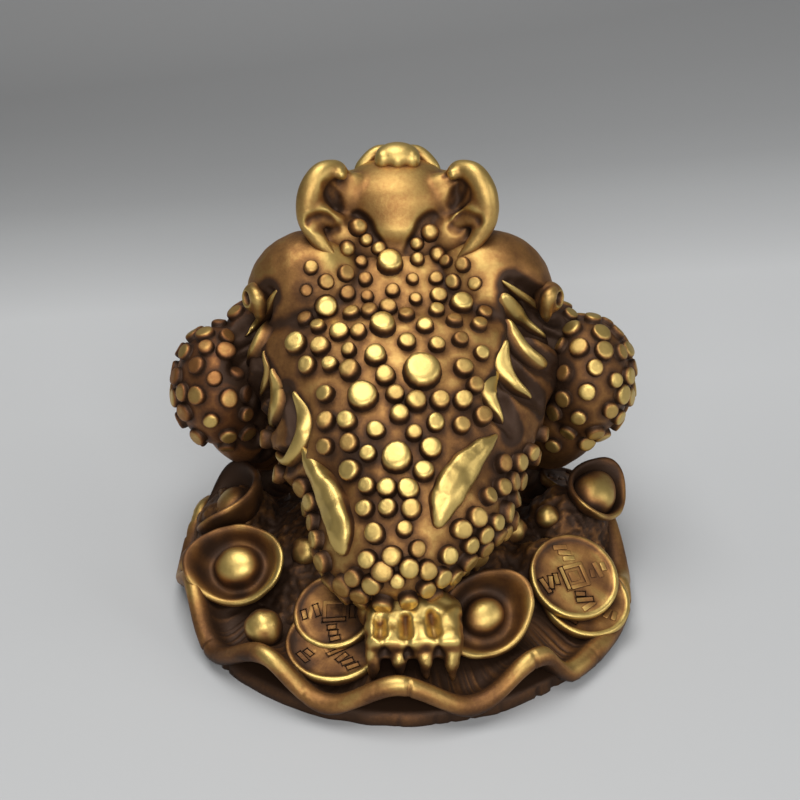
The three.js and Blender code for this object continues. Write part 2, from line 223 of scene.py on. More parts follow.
def ridge(shape, line, lifts, halves, heights, outline, outer=1, rings=30, power=3.0, polish=1.0):
    """A ridge along a line on the skin; its outline lists (across, up, wear) from the outer side round."""
    wear = shape.verts.layers.float["wear"]
    made = bmesh.ops.create_uvsphere(shape, u_segments=len(outline), v_segments=rings, radius=1)["verts"]
    for vert in made:
        share = share_down(vert)
        angle = math.atan2(vert.co.y, vert.co.x)
        corner = outline[round(angle / (2 * math.pi) * len(outline)) % len(outline)]
        closing = openness(share, power)
        spot, way = on_curve(line, share)
        lift = station(lifts, share).normalized()
        side = way.cross(lift).normalized() * outer
        across = corner[0] * station(halves, share) * closing
        rise = corner[1] * station(heights, share) * (closing if corner[1] > 0 else 1)
        vert.co = spot + side * across + lift * rise
        along = min(1.0, closing * 1.4)
        vert[wear] = corner[2] * (RIDGE_END_WEAR + (1 - RIDGE_END_WEAR) * along) * polish
    return made


def block(shape, centre, half, turn=None, rounding=0.45, segments=2):
    """A box with rounded edges, turned and placed."""
    made = bmesh.ops.create_cube(shape, size=2)["verts"]
    for vert in made:
        spot = Vector([vert.co[k] * half[k] for k in range(3)])
        if turn:
            spot = turn @ spot
        vert.co = spot + Vector(centre)
    edges = {edge for vert in made for edge in vert.link_edges}
    reach = rounding * min(half)
    grown = bmesh.ops.bevel(
        shape, geom=list(edges), offset=reach, affect="EDGES", segments=segments, profile=0.5, material=-1
    )
    return grown["verts"]


def turned(shape, profile, steps):
    """A profile of radius, height and, if given, wear, turned about +Z; both its ends are on the axis."""
    wear = shape.verts.layers.float["wear"]
    before = set(shape.verts)
    verts = [shape.verts.new((corner[0], 0, corner[1])) for corner in profile]
    for vert, corner in zip(verts, profile):
        vert[wear] = corner[2] if len(corner) > 2 else PLAIN_WEAR
    edges = [shape.edges.new(pair) for pair in zip(verts, verts[1:])]
    whole = 2 * math.pi
    bmesh.ops.spin(
        shape, geom=verts + edges, cent=(0, 0, 0), axis=(0, 0, 1), angle=whole, steps=steps, use_merge=True
    )
    made = [vert for vert in shape.verts if vert not in before]
    bmesh.ops.remove_doubles(shape, verts=made, dist=MERGED)
    return [vert for vert in shape.verts if vert not in before]


def placed(verts, centre, normal, spin=0.0):
    """Stands verts made about +Z on a centre, with +Z turned to a normal."""
    turn = UP.rotation_difference(Vector(normal).normalized()) @ Quaternion(UP, math.radians(spin))
    for vert in verts:
        vert.co = turn @ vert.co + Vector(centre)


def tilted(across, along):
    return Vector((across, along, 1)).normalized()


def object_of(name, shape):
    """Turns a shape in millimetres into a named object in metres, shaded smooth."""
    bmesh.ops.recalc_face_normals(shape, faces=shape.faces)
    mesh = bpy.data.meshes.new(name)
    shape.to_mesh(mesh)
    shape.free()
    mesh.transform(Matrix.Scale(MM, 4))
    mesh.polygons.foreach_set("use_smooth", [True] * len(mesh.polygons))
    piece = bpy.data.objects.new(name, mesh)
    bpy.context.scene.collection.objects.link(piece)
    return piece


def fused(piece, grain, rounding):
    """Melts the overlapping forms of a piece into one skin and rounds its creases."""
    remesh = piece.modifiers.new("melt", "REMESH")
    remesh.mode = "VOXEL"
    remesh.voxel_size = grain * MM
    remesh.use_smooth_shade = True
    smooth = piece.modifiers.new("round", "SMOOTH")
    smooth.factor = 0.5
    smooth.iterations = rounding
    graph = bpy.context.evaluated_depsgraph_get()
    mesh = bpy.data.meshes.new_from_object(piece.evaluated_get(graph))
    piece.modifiers.clear()
    old = piece.data
    piece.data = mesh
    bpy.data.meshes.remove(old)
    mesh.name = piece.name
    mesh.polygons.foreach_set("use_smooth", [True] * len(mesh.polygons))
    return piece


# Skins

LEAST_WEAR_AND_LIGHT = -0.5
SIGHT_TRIES = 30
SIGHT_STEP = 0.985
LINE_STEPS = 14


def coordinates(mesh):
    places = np.zeros(len(mesh.vertices) * 3, np.float32)
    mesh.vertices.foreach_get("co", places)
    return places.reshape(-1, 3).astype(float) / MM


def normals(mesh):
    found = np.zeros(len(mesh.vertices) * 3, np.float32)
    mesh.vertex_normals.foreach_get("vector", found)
    return found.reshape(-1, 3).astype(float)


def neighbour_mean(mesh):
    """A function that averages values over each point's neighbours."""
    edges = np.zeros(len(mesh.edges) * 2, np.int32)
    mesh.edges.foreach_get("vertices", edges)
    first, second = edges.reshape(-1, 2).T
    count = np.bincount(edges, minlength=len(mesh.vertices)).astype(float)
    count[count == 0] = 1

    def mean(values):
        total = np.bincount(first, values[second], len(values))
        total += np.bincount(second, values[first], len(values))
        return total / count

    return mean


def evened(places, mean):
    """The points moved halfway to the middle of their neighbours."""
    return np.column_stack([0.5 * places[:, axis] + 0.5 * mean(places[:, axis]) for axis in range(3)])


def heights_over(mesh, spans):
    """How far each point stands out of its surroundings, for each span of smoothing, in millimetres."""
    places = coordinates(mesh)
    facing = normals(mesh)
    mean = neighbour_mean(mesh)
    flat = places
    found = []
    done = 0
    for span in spans:
        while done < span:
            flat = evened(flat, mean)
            done += 1
        found.append(((places - flat) * facing).sum(1))
    return found


def store(mesh, values):
    """Keeps each point's level of wear and painted light, from below 0 in a recess to 1 on a polished top.
    """
    layer = mesh.attributes.get("wear") or mesh.attributes.new("wear", "FLOAT", "POINT")
    layer.data.foreach_set("value", np.clip(values, LEAST_WEAR_AND_LIGHT, 1).astype(np.float32))


def stored(mesh):
    values = np.zeros(len(mesh.vertices), np.float32)
    mesh.attributes["wear"].data.foreach_get("value", values)
    return values


def wear_by_height(piece, base, fine, broad, spans=(8, 50), floor=-FAR):
    """Wears what stands out of narrow and broad surroundings; the floor limits how dark a crease gets."""
    narrow, wide = heights_over(piece.data, spans)
    store(piece.data, base + fine * np.maximum(narrow, floor) + broad * wide)


def sight_on(skin, mark):
    """The spot and normal where the camera's sight meets a skin, or just inside its outline."""
    across, rise = mark
    for _ in range(SIGHT_TRIES):
        aim = AIM + ACROSS * across + RISE * rise
        spot, facing, _, _ = skin.ray_cast(EYE, (aim - EYE).normalized())
        if spot is not None:
            return spot, facing
        across *= SIGHT_STEP
    return skin.find_nearest(aim)[:2]


class Clay:
    """The points of a skin while it is carved, in millimetres."""

    def __init__(self, piece):
        self.mesh = piece.data
        self.places = coordinates(self.mesh)
        self.facing = normals(self.mesh)
        polygons = [tuple(face.vertices) for face in self.mesh.polygons]
        self.skin = BVHTree.FromPolygons(self.places.tolist(), polygons)

    def sights(self, marks):
        return [sight_on(self.skin, mark)[0] for mark in marks]

    def press(self, spots, radii, depths, edge=0.3, way=None, lean=None):
        """Pushes the skin in along a line; a negative depth raises it, and a lean shallows that side."""
        steps = LINE_STEPS * (len(spots) - 1) + 1
        shares = [k / max(1, steps - 1) for k in range(steps)]
        line = np.array([on_curve(spots, share)[0] if len(spots) > 1 else spots[0] for share in shares])
        reach = np.array([station(radii, share) for share in shares])
        deep = np.array([station(depths, share) for share in shares])
        low, high = line.min(0) - reach.max(), line.max(0) + reach.max()
        near = np.where(((self.places > low) & (self.places < high)).all(1))[0]
        if not len(near):
            return
        gap = np.linalg.norm(self.places[near][:, None] - line[None], axis=2) / reach
        best = gap.argmin(1)
        push = deep[best] * (1 - eased(gap[np.arange(len(near)), best], edge, 1))
        if lean is not None:
            aside = ((self.places[near] - line[best]) @ np.array(lean)) / reach[best]
            push *= 1 - eased(aside, low=-0.5, high=0.95)
        direction = self.facing[near] if way is None else np.array(way)
        self.places[near] -= direction * push[:, None]

    def relax(self, rounds):
        """Evens out the skin where pressing has stretched it."""
        mean = neighbour_mean(self.mesh)
        for _ in range(rounds):
            self.places = evened(self.places, mean)

    def roughen(self, pace, depth):
        """Moves the skin in and out by a noise, and returns the noise."""
        lumps = np.array([noise.noise(Vector(spot) * pace) for spot in self.places])
        self.places += self.facing * (depth * lumps)[:, None]
        return lumps

    def keep(self):
        self.mesh.vertices.foreach_set("co", (self.places * MM).astype(np.float32).ravel())
        self.mesh.update()

    def distance(self, spots):
        """Each point's distance from the nearest of some spots."""
        best = np.full(len(self.places), FAR)
        for spot in spots:
            best = np.minimum(best, np.linalg.norm(self.places - np.array(spot), axis=1))
        return best


# Brass

# Noises that move the level of wear and painted light: scale, detail, roughness, gain
PATCHES = (70, 4, 0.6, 0.42)
SPECKS = (1100, 4, 0.7, 0.26)
SCRATCHES = (2400, 3, 0.6, 0.16)
# Painted shade from ambient occlusion darkens the recesses: how far occlusion is looked for in millimetres,
# the share of open sky that changes nothing, and the gain
PAINTED_SHADE_REACH = 6
OPEN_SKY = 0.8
PAINTED_SHADE_GAIN = 0.58
# Roughness and metal share for each level of wear and painted light
ROUGHNESS = ((0.1, 0.60), (0.5, 0.50), (0.92, 0.40))
METAL = ((0.05, 0.6), (0.6, 0.95))
GRAIN_STRENGTH = 0.4
GRAIN_DEPTH = 0.14


class Nodes:
    """Short ways to add shader nodes to a material."""

    def __init__(self, material):
        material.use_nodes = True
        self.nodes = material.node_tree.nodes
        self.links = material.node_tree.links
        self.shader = self.nodes["Principled BSDF"]

    def put(self, socket, value):
        if isinstance(value, bpy.types.NodeSocket):
            self.links.new(value, socket)
        else:
            socket.default_value = value

    def math(self, operation, *values, clamp=False):
        made = self.nodes.new("ShaderNodeMath")
        made.operation = operation
        made.use_clamp = clamp
        for socket, value in zip(made.inputs, values):
            self.put(socket, value)
        return made.outputs[0]

    def ramp(self, factor, stops):
        made = self.nodes.new("ShaderNodeValToRGB")
        elements = made.color_ramp.elements
        while len(elements) < len(stops):
            elements.new(0.5)
        for element, (place, shade) in zip(elements, stops):
            element.position = place
            element.color = (*shade, 1) if isinstance(shade, tuple) else (shade, shade, shade, 1)
        self.links.new(factor, made.inputs[0])
        return made.outputs[0]

    def cloud(self, scale, detail, rough):
        """A noise whose value runs from about -0.5 to 0.5."""
        made = self.nodes.new("ShaderNodeTexNoise")
        made.inputs["Scale"].default_value = scale
        made.inputs["Detail"].default_value = detail
        made.inputs["Roughness"].default_value = rough
        self.links.new(self.coords(), made.inputs["Vector"])
        return self.math("SUBTRACT", made.outputs["Fac"], 0.5)

    def coords(self):
        return self.nodes.new("ShaderNodeTexCoord").outputs["Object"]


def mixed(first, second, share):
    return tuple(a + (b - a) * share for a, b in zip(first, second))


def brass(name, lift=0.0, shade=1.0, grit=1.0, red=0.0):
    """Antiqued brass: dark in the recesses from patina and painted shade, brown between, rubbed bright on
    the high points.
    """
    material = bpy.data.materials.new(name)
    maker = Nodes(material)
    wear = maker.nodes.new("ShaderNodeAttribute")
    wear.attribute_name = "wear"
    painted_occlusion_shade = maker.nodes.new("ShaderNodeAmbientOcclusion")
    painted_occlusion_shade.samples = 6
    painted_occlusion_shade.inputs["Distance"].default_value = PAINTED_SHADE_REACH * MM
    patches, specks, scratches = [maker.cloud(*kind[:3]) for kind in (PATCHES, SPECKS, SCRATCHES)]
    level = maker.math("ADD", wear.outputs["Fac"], lift)
    level = maker.math("MULTIPLY_ADD", patches, PATCHES[3], level)
    level = maker.math("MULTIPLY_ADD", specks, SPECKS[3] * grit, level)
    # Painted shade: ambient occlusion darkens the colour in the recesses
    open_sky = maker.math("SUBTRACT", painted_occlusion_shade.outputs["AO"], OPEN_SKY)
    level = maker.math("MULTIPLY_ADD", open_sky, PAINTED_SHADE_GAIN, level, clamp=True)
    dark, brown, bright = colour("patina"), colour("tarnish"), colour("polish")
    brown = (brown[0], brown[1] * (1 - red), brown[2] * (1 - red))
    stops = [
        (0.06, dark),
        (0.3, mixed(dark, brown, 0.42)),
        (0.5, mixed(brown, bright, 0.12)),
        (0.68, mixed(brown, bright, 0.6)),
        (0.88, bright),
    ]
    tone = maker.ramp(level, [(place, mixed((0, 0, 0), found, shade)) for place, found in stops])
    maker.put(maker.shader.inputs["Base Color"], tone)
    gloss = maker.ramp(level, ROUGHNESS)
    maker.put(maker.shader.inputs["Roughness"], maker.math("MULTIPLY_ADD", scratches, SCRATCHES[3], gloss))
    maker.put(maker.shader.inputs["Metallic"], maker.ramp(level, METAL))
    grain = maker.nodes.new("ShaderNodeBump")
    grain.inputs["Strength"].default_value = GRAIN_STRENGTH
    grain.inputs["Distance"].default_value = GRAIN_DEPTH * MM
    maker.put(grain.inputs["Height"], maker.math("MULTIPLY_ADD", scratches, 0.3, specks))
    maker.put(maker.shader.inputs["Normal"], grain.outputs["Normal"])
    return material


def cast(piece, material):
    """Gives a finished piece its brass and ties it to the part."""
    piece.data.materials.clear()
    piece.data.materials.append(material)
    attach(piece, "root")
    return piece


# The back and the limbs

# Stations of the trunk: x, y, z, half breadth, half depth
TORSO = (
    (-6, -32.5, 21, 14.5, 9),
    (-3.5, -24, 27, 16.5, 11.5),
    (0, -13, 33, 21.5, 13.5),
    (0, -3, 38.3, 27.5, 15.8),
    (0, 6, 43, 30.5, 17),
    (0, 15, 48.5, 34.5, 17),
    (0, 25, 57, 32, 15),
    (0, 38.5, 75, 24, 13),
)
# Eggs that fill the trunk: middle, half sizes
TRUNK_EGGS = (((0, 24, 40), (28, 15, 25)), ((0, 0, 22), (18, 26, 17)))
SLOPE = math.radians(37)
THROUGH = Vector((0, -math.sin(SLOPE), math.cos(SLOPE)))
THIGH = (11, -14, 30)
THIGH_HALF = (12.5, 9, 11)
THIGH_TURN = math.radians(35)
SHOULDER = Vector((19, 26, 60.5))
SHOULDER_HALF = (14.6, 12, 15)
SHOULDER_SHIFT = -0.6
ELBOW_HALF = (9.9, 12.5, 13.4)
# The foreleg's parts on the right side: path, radii
UPPER_ARM = (((20, 29, 55), (37, 24.5, 45)), (9, 9.4))
FOREARM = (((37.5, 19, 40), (35, 24, 27), (32, 34, 16)), (9, 8.8, 7.2, 5))
WRIST = (32, 34, 16)
WRIST_HALF = (7.5, 6, 5)
# How much redder the brass of each foreleg is
ARM_RED = {-1: 0.14, 1: 0.0}


def elbow_middle(side):
    """The left elbow sits a little lower than the right one."""
    return Vector((40.4 * side, 20, 42.2 + side))


# Marks give a point's place across and up from the middle of the camera's sight, in millimetres

# Fins: marks, half widths, height, polish
LEFT_FINS = (
    (((-26.2, 23.9), (-28.2, 20.0), (-30.7, 16.6), (-33.5, 13.5)), (0.6, 0.9, 0.55, 0.3), 1.8, 0.8),
    (((-28.0, 17.4), (-29.2, 13.8), (-31.0, 10.5), (-33.1, 7.7)), (0.5, 0.9, 0.7, 0.3), 2.0, 0.8),
    (((-29.0, 10.8), (-28.0, 6.9), (-28.4, 3.9), (-29.9, 0.9)), (0.4, 0.8, 0.75, 0.3), 1.9, 0.8),
    (((-27.3, 7.1), (-25.6, 2.6), (-26.2, -2.4), (-28.6, -7.3)), (0.6, 1.45, 1.2, 0.5), 2.4, 1.0),
    (
        ((-22.8, 2.2), (-20.0, -2.6), (-20.6, -8.0), (-23.4, -12.5), (-26.4, -10.8)),
        (0.7, 1.7, 1.6, 1.0, 0.5),
        2.6,
        1.0,
    ),
)
RIGHT_FINS = (
    (((21.7, 25.8), (24.9, 23.7), (28.2, 21.3), (31.2, 18.3)), (0.45, 0.7, 0.65, 0.35), 1.8, 0.85),
    (((21.7, 23.0), (23.9, 19.8), (27.1, 16.3), (31.4, 13.1)), (1.5, 1.5, 0.75, 0.6), 2.2, 1.0),
    (((22.6, 17.6), (24.1, 14.0), (27.1, 10.3), (31.6, 7.1)), (0.5, 0.9, 1.0, 1.4), 2.2, 1.0),
    (((22.6, 13.1), (21.5, 8.2), (24.1, 3.9), (28.2, 0.0)), (0.6, 1.9, 1.1, 0.6), 2.4, 1.0),
    (((20.9, 6.7), (18.7, 2.8), (19.6, -0.6), (22.1, -5.4)), (0.7, 1.8, 1.2, 0.5), 2.4, 1.0),
)
# Drops: marks, half widths
LEFT_DROP = (
    ((-21.3, -9.5), (-17.8, -15.3), (-14.4, -21.5), (-12.5, -28.0), (-12.3, -33.8)),
    (0.7, 2.1, 3.1, 3.0, 2.2),
)
RIGHT_DROP = (
    ((20.9, -7.3), (17.0, -10.8), (13.3, -15.3), (10.1, -20.6), (7.7, -27.7)),
    (0.7, 2.0, 3.2, 3.3, 1.9),
)
DROP_HEIGHTS = (1.6, 2.5, 2.7, 2.0)
# Large warts: mark, share of an ordinary wart's radius
LARGE_WARTS = (
    ((-2.2, 29.2), 1.4),
    ((-3.7, 15.7), 1.35),
    ((4.7, 5.8), 1.95),
    ((-8.0, 0.6), 1.6),
    ((-0.6, -12.7), 1.6),
    ((-15.9, 20.2), 1.2),
    ((13.1, 20.4), 1.2),
    ((-5.2, 9.2), 1.15),
    ((-22.1, 11.8), 1.2),
)
# Balls under the brows: mark, radius
BROW_BALLS = (
    ((-9.2, 37.0), 1.95),
    ((-7.3, 34.4), 1.5),
    ((-11.4, 32.7), 1.75),
    ((-4.5, 32.5), 1.6),
    ((6.5, 35.9), 1.95),
    ((3.7, 33.5), 1.5),
    ((8.0, 31.4), 1.75),
    ((3.7, 30.1), 1.55),
)
# Outlines of a ridge, from its outer side over the top and back under it: shares of the half width and
# of the height, wear
FIN_OUTLINE = (
    (0.9, 0.3, 0.2),
    (1.0, 0.86, 0.8),
    (0.75, 1.02, 1.0),
    (0.0, 1.04, 1.0),
    (-0.75, 0.98, 1.0),
    (-1.1, 0.82, 0.6),
    (-1.9, 0.42, 0.3),
    (-3.0, 0.0, 0.25),
    (-2.4, -0.7, 0.1),
    (-0.5, -1.6, 0.1),
    (0.5, -1.6, 0.1),
    (0.8, -0.9, 0.1),
)
DROP_OUTLINE = (
    (1.06, 0.05, 0.25),
    (1.02, 0.45, 0.75),
    (0.86, 0.8, 1.0),
    (0.45, 1.0, 1.0),
    (0.0, 1.06, 1.0),
    (-0.45, 1.0, 1.0),
    (-0.86, 0.8, 1.0),
    (-1.02, 0.45, 0.75),
    (-1.06, 0.05, 0.25),
    (-1.1, -0.5, 0.1),
    (-0.5, -0.9, 0.1),
    (0.0, -0.9, 0.1),
    (0.5, -0.9, 0.1),
    (1.1, -0.5, 0.1),
)


def back_forms(shape):
    path = [Vector(part[:3]) for part in TORSO]
    breadth = [part[3] for part in TORSO]
    depth = [part[4] / part[3] for part in TORSO]
    roll(shape, path, breadth, depth, around=72, rings=56)
    for middle, half in TRUNK_EGGS:
        egg(shape, middle, half)
    egg(shape, THIGH, THIGH_HALF, Quaternion(THROUGH, THIGH_TURN))
    for side in SIDES:
        egg(shape, (SHOULDER.x * side + SHOULDER_SHIFT, SHOULDER.y, SHOULDER.z), SHOULDER_HALF)


class TOAD_OT_back(bpy.types.Operator):
    """The trunk: back, shoulders, belly and thigh."""

    bl_idname = "toad.back"
    bl_label = "Back"

    def execute(self, context):
        shape = new_shape()
        back_forms(shape)
        piece = fused(object_of("toad_back", shape), size("body_grain"), rounding=14)
        clay = Clay(piece)
        clay.roughen(pace=0.35, depth=0.16)
        clay.keep()
        x, y, z = clay.places.T
        nape = eased(z, low=45, high=60) * (1 - eased(np.abs(x), low=14, high=24))
        # Painted light: the rump faces the camera and the lamp behind it, so it is made lighter
        rump = 1 - eased(y, low=-24, high=-12)
        base = 0.255 + 0.31 * nape + 0.22 * rump
        wear_by_height(piece, base, fine=1.3, broad=0.35, spans=(8, 70), floor=-0.2)
        cast(piece, brass("brass of the back"))
        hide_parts("money_toad")
        return {"FINISHED"}


# Radii of a digit and of its claw, as shares of the digit's thickness
DIGIT = (1.0, 1.06, 0.95)
CLAW = (0.8, 0.62, 0.28)


def digits(shape, count, root, reach, drop, spread, thick):
    """Webbed digits side by side: each is a knuckled roll with a claw bent down from it."""
    forward = math.copysign(1, reach)
    for k in range(count):
        place = k - (count - 1) / 2
        heel = Vector(root) + Vector((place * spread * 0.8, 0, 0.3))
        knuckle = heel + Vector((place * spread * 0.22, reach, -1.2))
        tip = knuckle + Vector((place * 0.2, forward * 2.4, -drop))
        arch = (heel + knuckle) / 2 + UP * 0.5
        roll(shape, [heel, arch, knuckle], [thick * part for part in DIGIT], around=18)
        bend = knuckle + Vector((0, forward * 1.8, -0.35 * drop))
        roll(shape, [knuckle - UP * 0.5, bend, tip], [thick * part for part in CLAW], around=14, rings=18)


class TOAD_OT_forelegs(bpy.types.Operator):
    """The two bent forelegs with their webbed feet."""

    bl_idname = "toad.forelegs"
    bl_label = "Forelegs"

    def execute(self, context):
        for side, name in NAMED_SIDES:
            shape = new_shape()
            egg(shape, elbow_middle(side), ELBOW_HALF)
            for path, radii in (UPPER_ARM, FOREARM):
                roll(shape, mirrored(path, side), radii)
            egg(shape, to_side(WRIST, side), WRIST_HALF)
            digits(shape, 3, (32 * side, 35, 15.5), reach=5.5, drop=7, spread=5.2, thick=2.7)
            piece = fused(object_of(f"foreleg_{name}", shape), size("body_grain"), rounding=8)
            wear_by_height(piece, 0.22, fine=1.5, broad=0.2, spans=(8, 70))
            cast(piece, brass(f"brass of the {name} foreleg", red=ARM_RED[side]))
        return {"FINISHED"}


# Hind foot: slots of the knuckle block and gaps between the claws, as marks of their tops and bottoms
FOOT_SLOTS = (((-4.3, -47.3), (-4.1, -50.1)), ((1.1, -46.9), (1.3, -50.5)), ((6.9, -46.2), (7.3, -49.9)))
CLAW_GAPS = (((-3.9, -51.2), (-3.2, -54.6)), ((1.5, -51.6), (1.9, -55.0)), ((8.0, -51.2), (8.4, -54.6)))
# The way that the hind foot's painted highlight faces: up and a little toward the camera
FOOT_HIGHLIGHT_WAY = (0, -0.3, 0.95)


class TOAD_OT_hind_foot(bpy.types.Operator):
    """The single hind foot: a knuckle block with slots, four toes and claws."""

    bl_idname = "toad.hind_foot"
    bl_label = "Hind foot"

    def execute(self, context):
        shape = new_shape()
        egg(shape, (1.4, -30, 16.5), (10.8, 7, 5.6))
        slope = Quaternion(ACROSS, math.radians(14))
        block(shape, (2.2, -35.8, 15.9), (9.9, 5.4, 3.2), slope, rounding=0.62, segments=5)
        digits(shape, 4, (1.9, -31.6, 16.4), reach=-7.2, drop=8.3, spread=5.2, thick=2.55)
        piece = fused(object_of("hind_foot", shape), size("head_grain"), rounding=7)
        clay = Clay(piece)
        for marks in FOOT_SLOTS:
            clay.press(clay.sights(marks), radii=(1.6, 1.9), depths=1.6, edge=0.1)
        for marks in CLAW_GAPS:
            clay.press(clay.sights(marks), radii=(0.9, 1.3), depths=(0.5, 1.5), edge=0.15)
        lumps = clay.roughen(pace=0.4, depth=0.45)
        clay.relax(2)
        clay.keep()
        # Painted highlight: faces turned up and toward the camera are lighter
        upward = np.clip(clay.facing @ np.array(FOOT_HIGHLIGHT_WAY), 0, 1)
        wear_by_height(piece, 0.18 + upward**2 + 0.2 * lumps, fine=1.6, broad=0.25, spans=(8, 60))
        cast(piece, brass("brass of the hind foot"))
        return {"FINISHED"}


# The head

HEAD_MIDDLE = -1.2
# Eggs of the neck and the crown: middle, half sizes
NECK_EGGS = (((0, 37, 63), (16, 10, 12)), ((0, 38.5, 74.5), (14, 10, 12)), ((0, 31, 70), (17, 8, 9)))
FOREHEAD = ((0, 44, 79), (0, 38.5, 81), (0, 33.5, 79), (0, 29.3, 74.7), (0, 26.9, 70.6), (0, 25.4, 67))
FOREHEAD_RADII = (8.5, 12.6, 12.6, 8.6, 4.0, 1.4)
FOREHEAD_DEPTHS = (0.6, 0.6, 0.64, 0.7, 0.8, 0.9)
MUZZLE = ((0, 44.5, 81), (9, 7, 4.6))
# What follows is made on both sides, and given for the right one
EAR_RIM = (
    (10.4, 32.8, 87.0),
    (13.4, 30.6, 88.8),
    (16.6, 28.3, 88.4),
    (18.7, 26.2, 85.0),
    (19.1, 24.6, 80.2),
    (16.6, 22.8, 75.2),
    (11.4, 20.8, 70.6),
)
EAR_RIM_RADII = (1.4, 2.2, 2.5, 2.7, 2.5, 2.0, 0.9)
EAR_WEB = ((19.0, 25.6, 83.4), (16.6, 25.4, 80.8), (13.6, 26.2, 78.9), (10.6, 27.6, 77.2))
EAR_WEB_RADII = (2.2, 2.6, 1.9, 1.4)
# Eggs that fill the ear, its root and its tip, the brow's corner and the eye: middle, half sizes
SIDE_EGGS = (
    ((16.6, 31.2, 83), (4.2, 3.8, 6.4)),
    ((18.4, 26.8, 82.6), (2.7, 3.2, 5.6)),
    ((10.2, 32.6, 79.5), (6.5, 4.2, 7.5)),
    ((11.9, 28.8, 88.4), (1.5, 1.5, 1.6)),
    ((11.8, 28.0, 73.4), (6.0, 4.2, 5.8)),
    ((12, 39.5, 79), (4.6, 4.6, 4.4)),
)
# Lips: height, reach to the front, thickness
LIPS = ((75, 45.5, 2.3), (70, 46, 2.6))
LIP_TAPER = (0.8, 1.0, 0.8)
SNOUT_RIDGE = ((14, 37, 80), (9.5, 44.5, 80), (0, 47, 81.5))
SNOUT_RIDGE_RADII = (1.2, 2.2, 1.6)
TOAD_EYE = (12.6, 43.5, 80.5)
# Rings pressed around the middle of an eye: radius, depth
EYE_RINGS = ((3.6, -0.5), (2.6, 0.55), (1.7, -0.5))
NOSTRIL = (3.4, 51.2, 81.5)
# Hollows beside the brow and in the ear: left marks, right marks, radii, depths, edge, and the way of the
# side that rises gently, or none
HEAD_HOLLOWS = (
    (
        ((-10.8, 38.3), (-8.8, 38.9), (-7.5, 37.6), (-6.0, 35.0), (-3.9, 32.0)),
        ((8.2, 38.3), (6.5, 38.9), (5.2, 37.6), (3.7, 35.0), (1.9, 32.0)),
        (1.5, 2.2, 2.3, 2.0, 1.4),
        (0.5, 1.1, 1.2, 1.1, 0.5),
        0.62,
        (0.7, 0, -0.6),
    ),
    (
        ((-16.1, 46.2), (-14.8, 44.3), (-13.3, 41.9)),
        ((13.8, 46.7), (12.7, 44.7), (11.2, 42.4)),
        (1.6, 2.2, 1.8),
        (1.2, 1.7, 0.9),
        0.5,
        (-0.6, 0, 0),
    ),
    (
        ((-18.7, 38.3), (-16.8, 38.1), (-14.6, 36.8)),
        ((16.1, 38.5), (14.0, 38.5), (12.0, 37.0)),
        (2.0, 2.9, 2.1),
        (1.2, 1.7, 0.9),
        0.6,
        (-0.3, 0, -0.9),
    ),
    (((-11.6, 49.2), (-11.6, 47.7)), ((9.7, 49.7), (9.7, 48.2)), (1.1, 1.0), (0.7, 0.4), 0.2, None),
)
KNOB = ((0, 37.4, 88.6), (4.9, 3.4, 3.1))
KNOB_LOBE_HALF = (1.9, 2.2, 2.5)
KNOB_CURL = ((0, 41.5, 88.2), (4.4, 41, 87.9), (7.5, 39.5, 85.6), (9.7, 38, 82))
KNOB_CURL_RADII = (1.4, 1.6, 1.5, 0.8)


def centred(shape):
    """Moves forms that are made about x 0 to the middle of the head."""
    for vert in shape.verts:
        vert.co.x += HEAD_MIDDLE


def head_forms(shape):
    for middle, half in NECK_EGGS:
        egg(shape, middle, half)
    roll(shape, FOREHEAD, FOREHEAD_RADII, FOREHEAD_DEPTHS, around=40, rings=40, power=4)
    egg(shape, *MUZZLE)
    for side in SIDES:
        roll(shape, mirrored(EAR_RIM, side), EAR_RIM_RADII, up=Vector((0, 1, 0.4)), rings=40)
        roll(shape, mirrored(EAR_WEB, side), EAR_WEB_RADII, rings=24)
        for middle, half in SIDE_EGGS:
            egg(shape, to_side(middle, side), half)
        for height, reach, thick in LIPS:
            lip = [(15.5, 35, height - 7), (9.5, reach - 2, height - 0.5), (0, reach + 2, height + 3)]
            roll(shape, mirrored(lip, side), [thick * part for part in LIP_TAPER])
        roll(shape, mirrored(SNOUT_RIDGE, side), SNOUT_RIDGE_RADII)
    centred(shape)


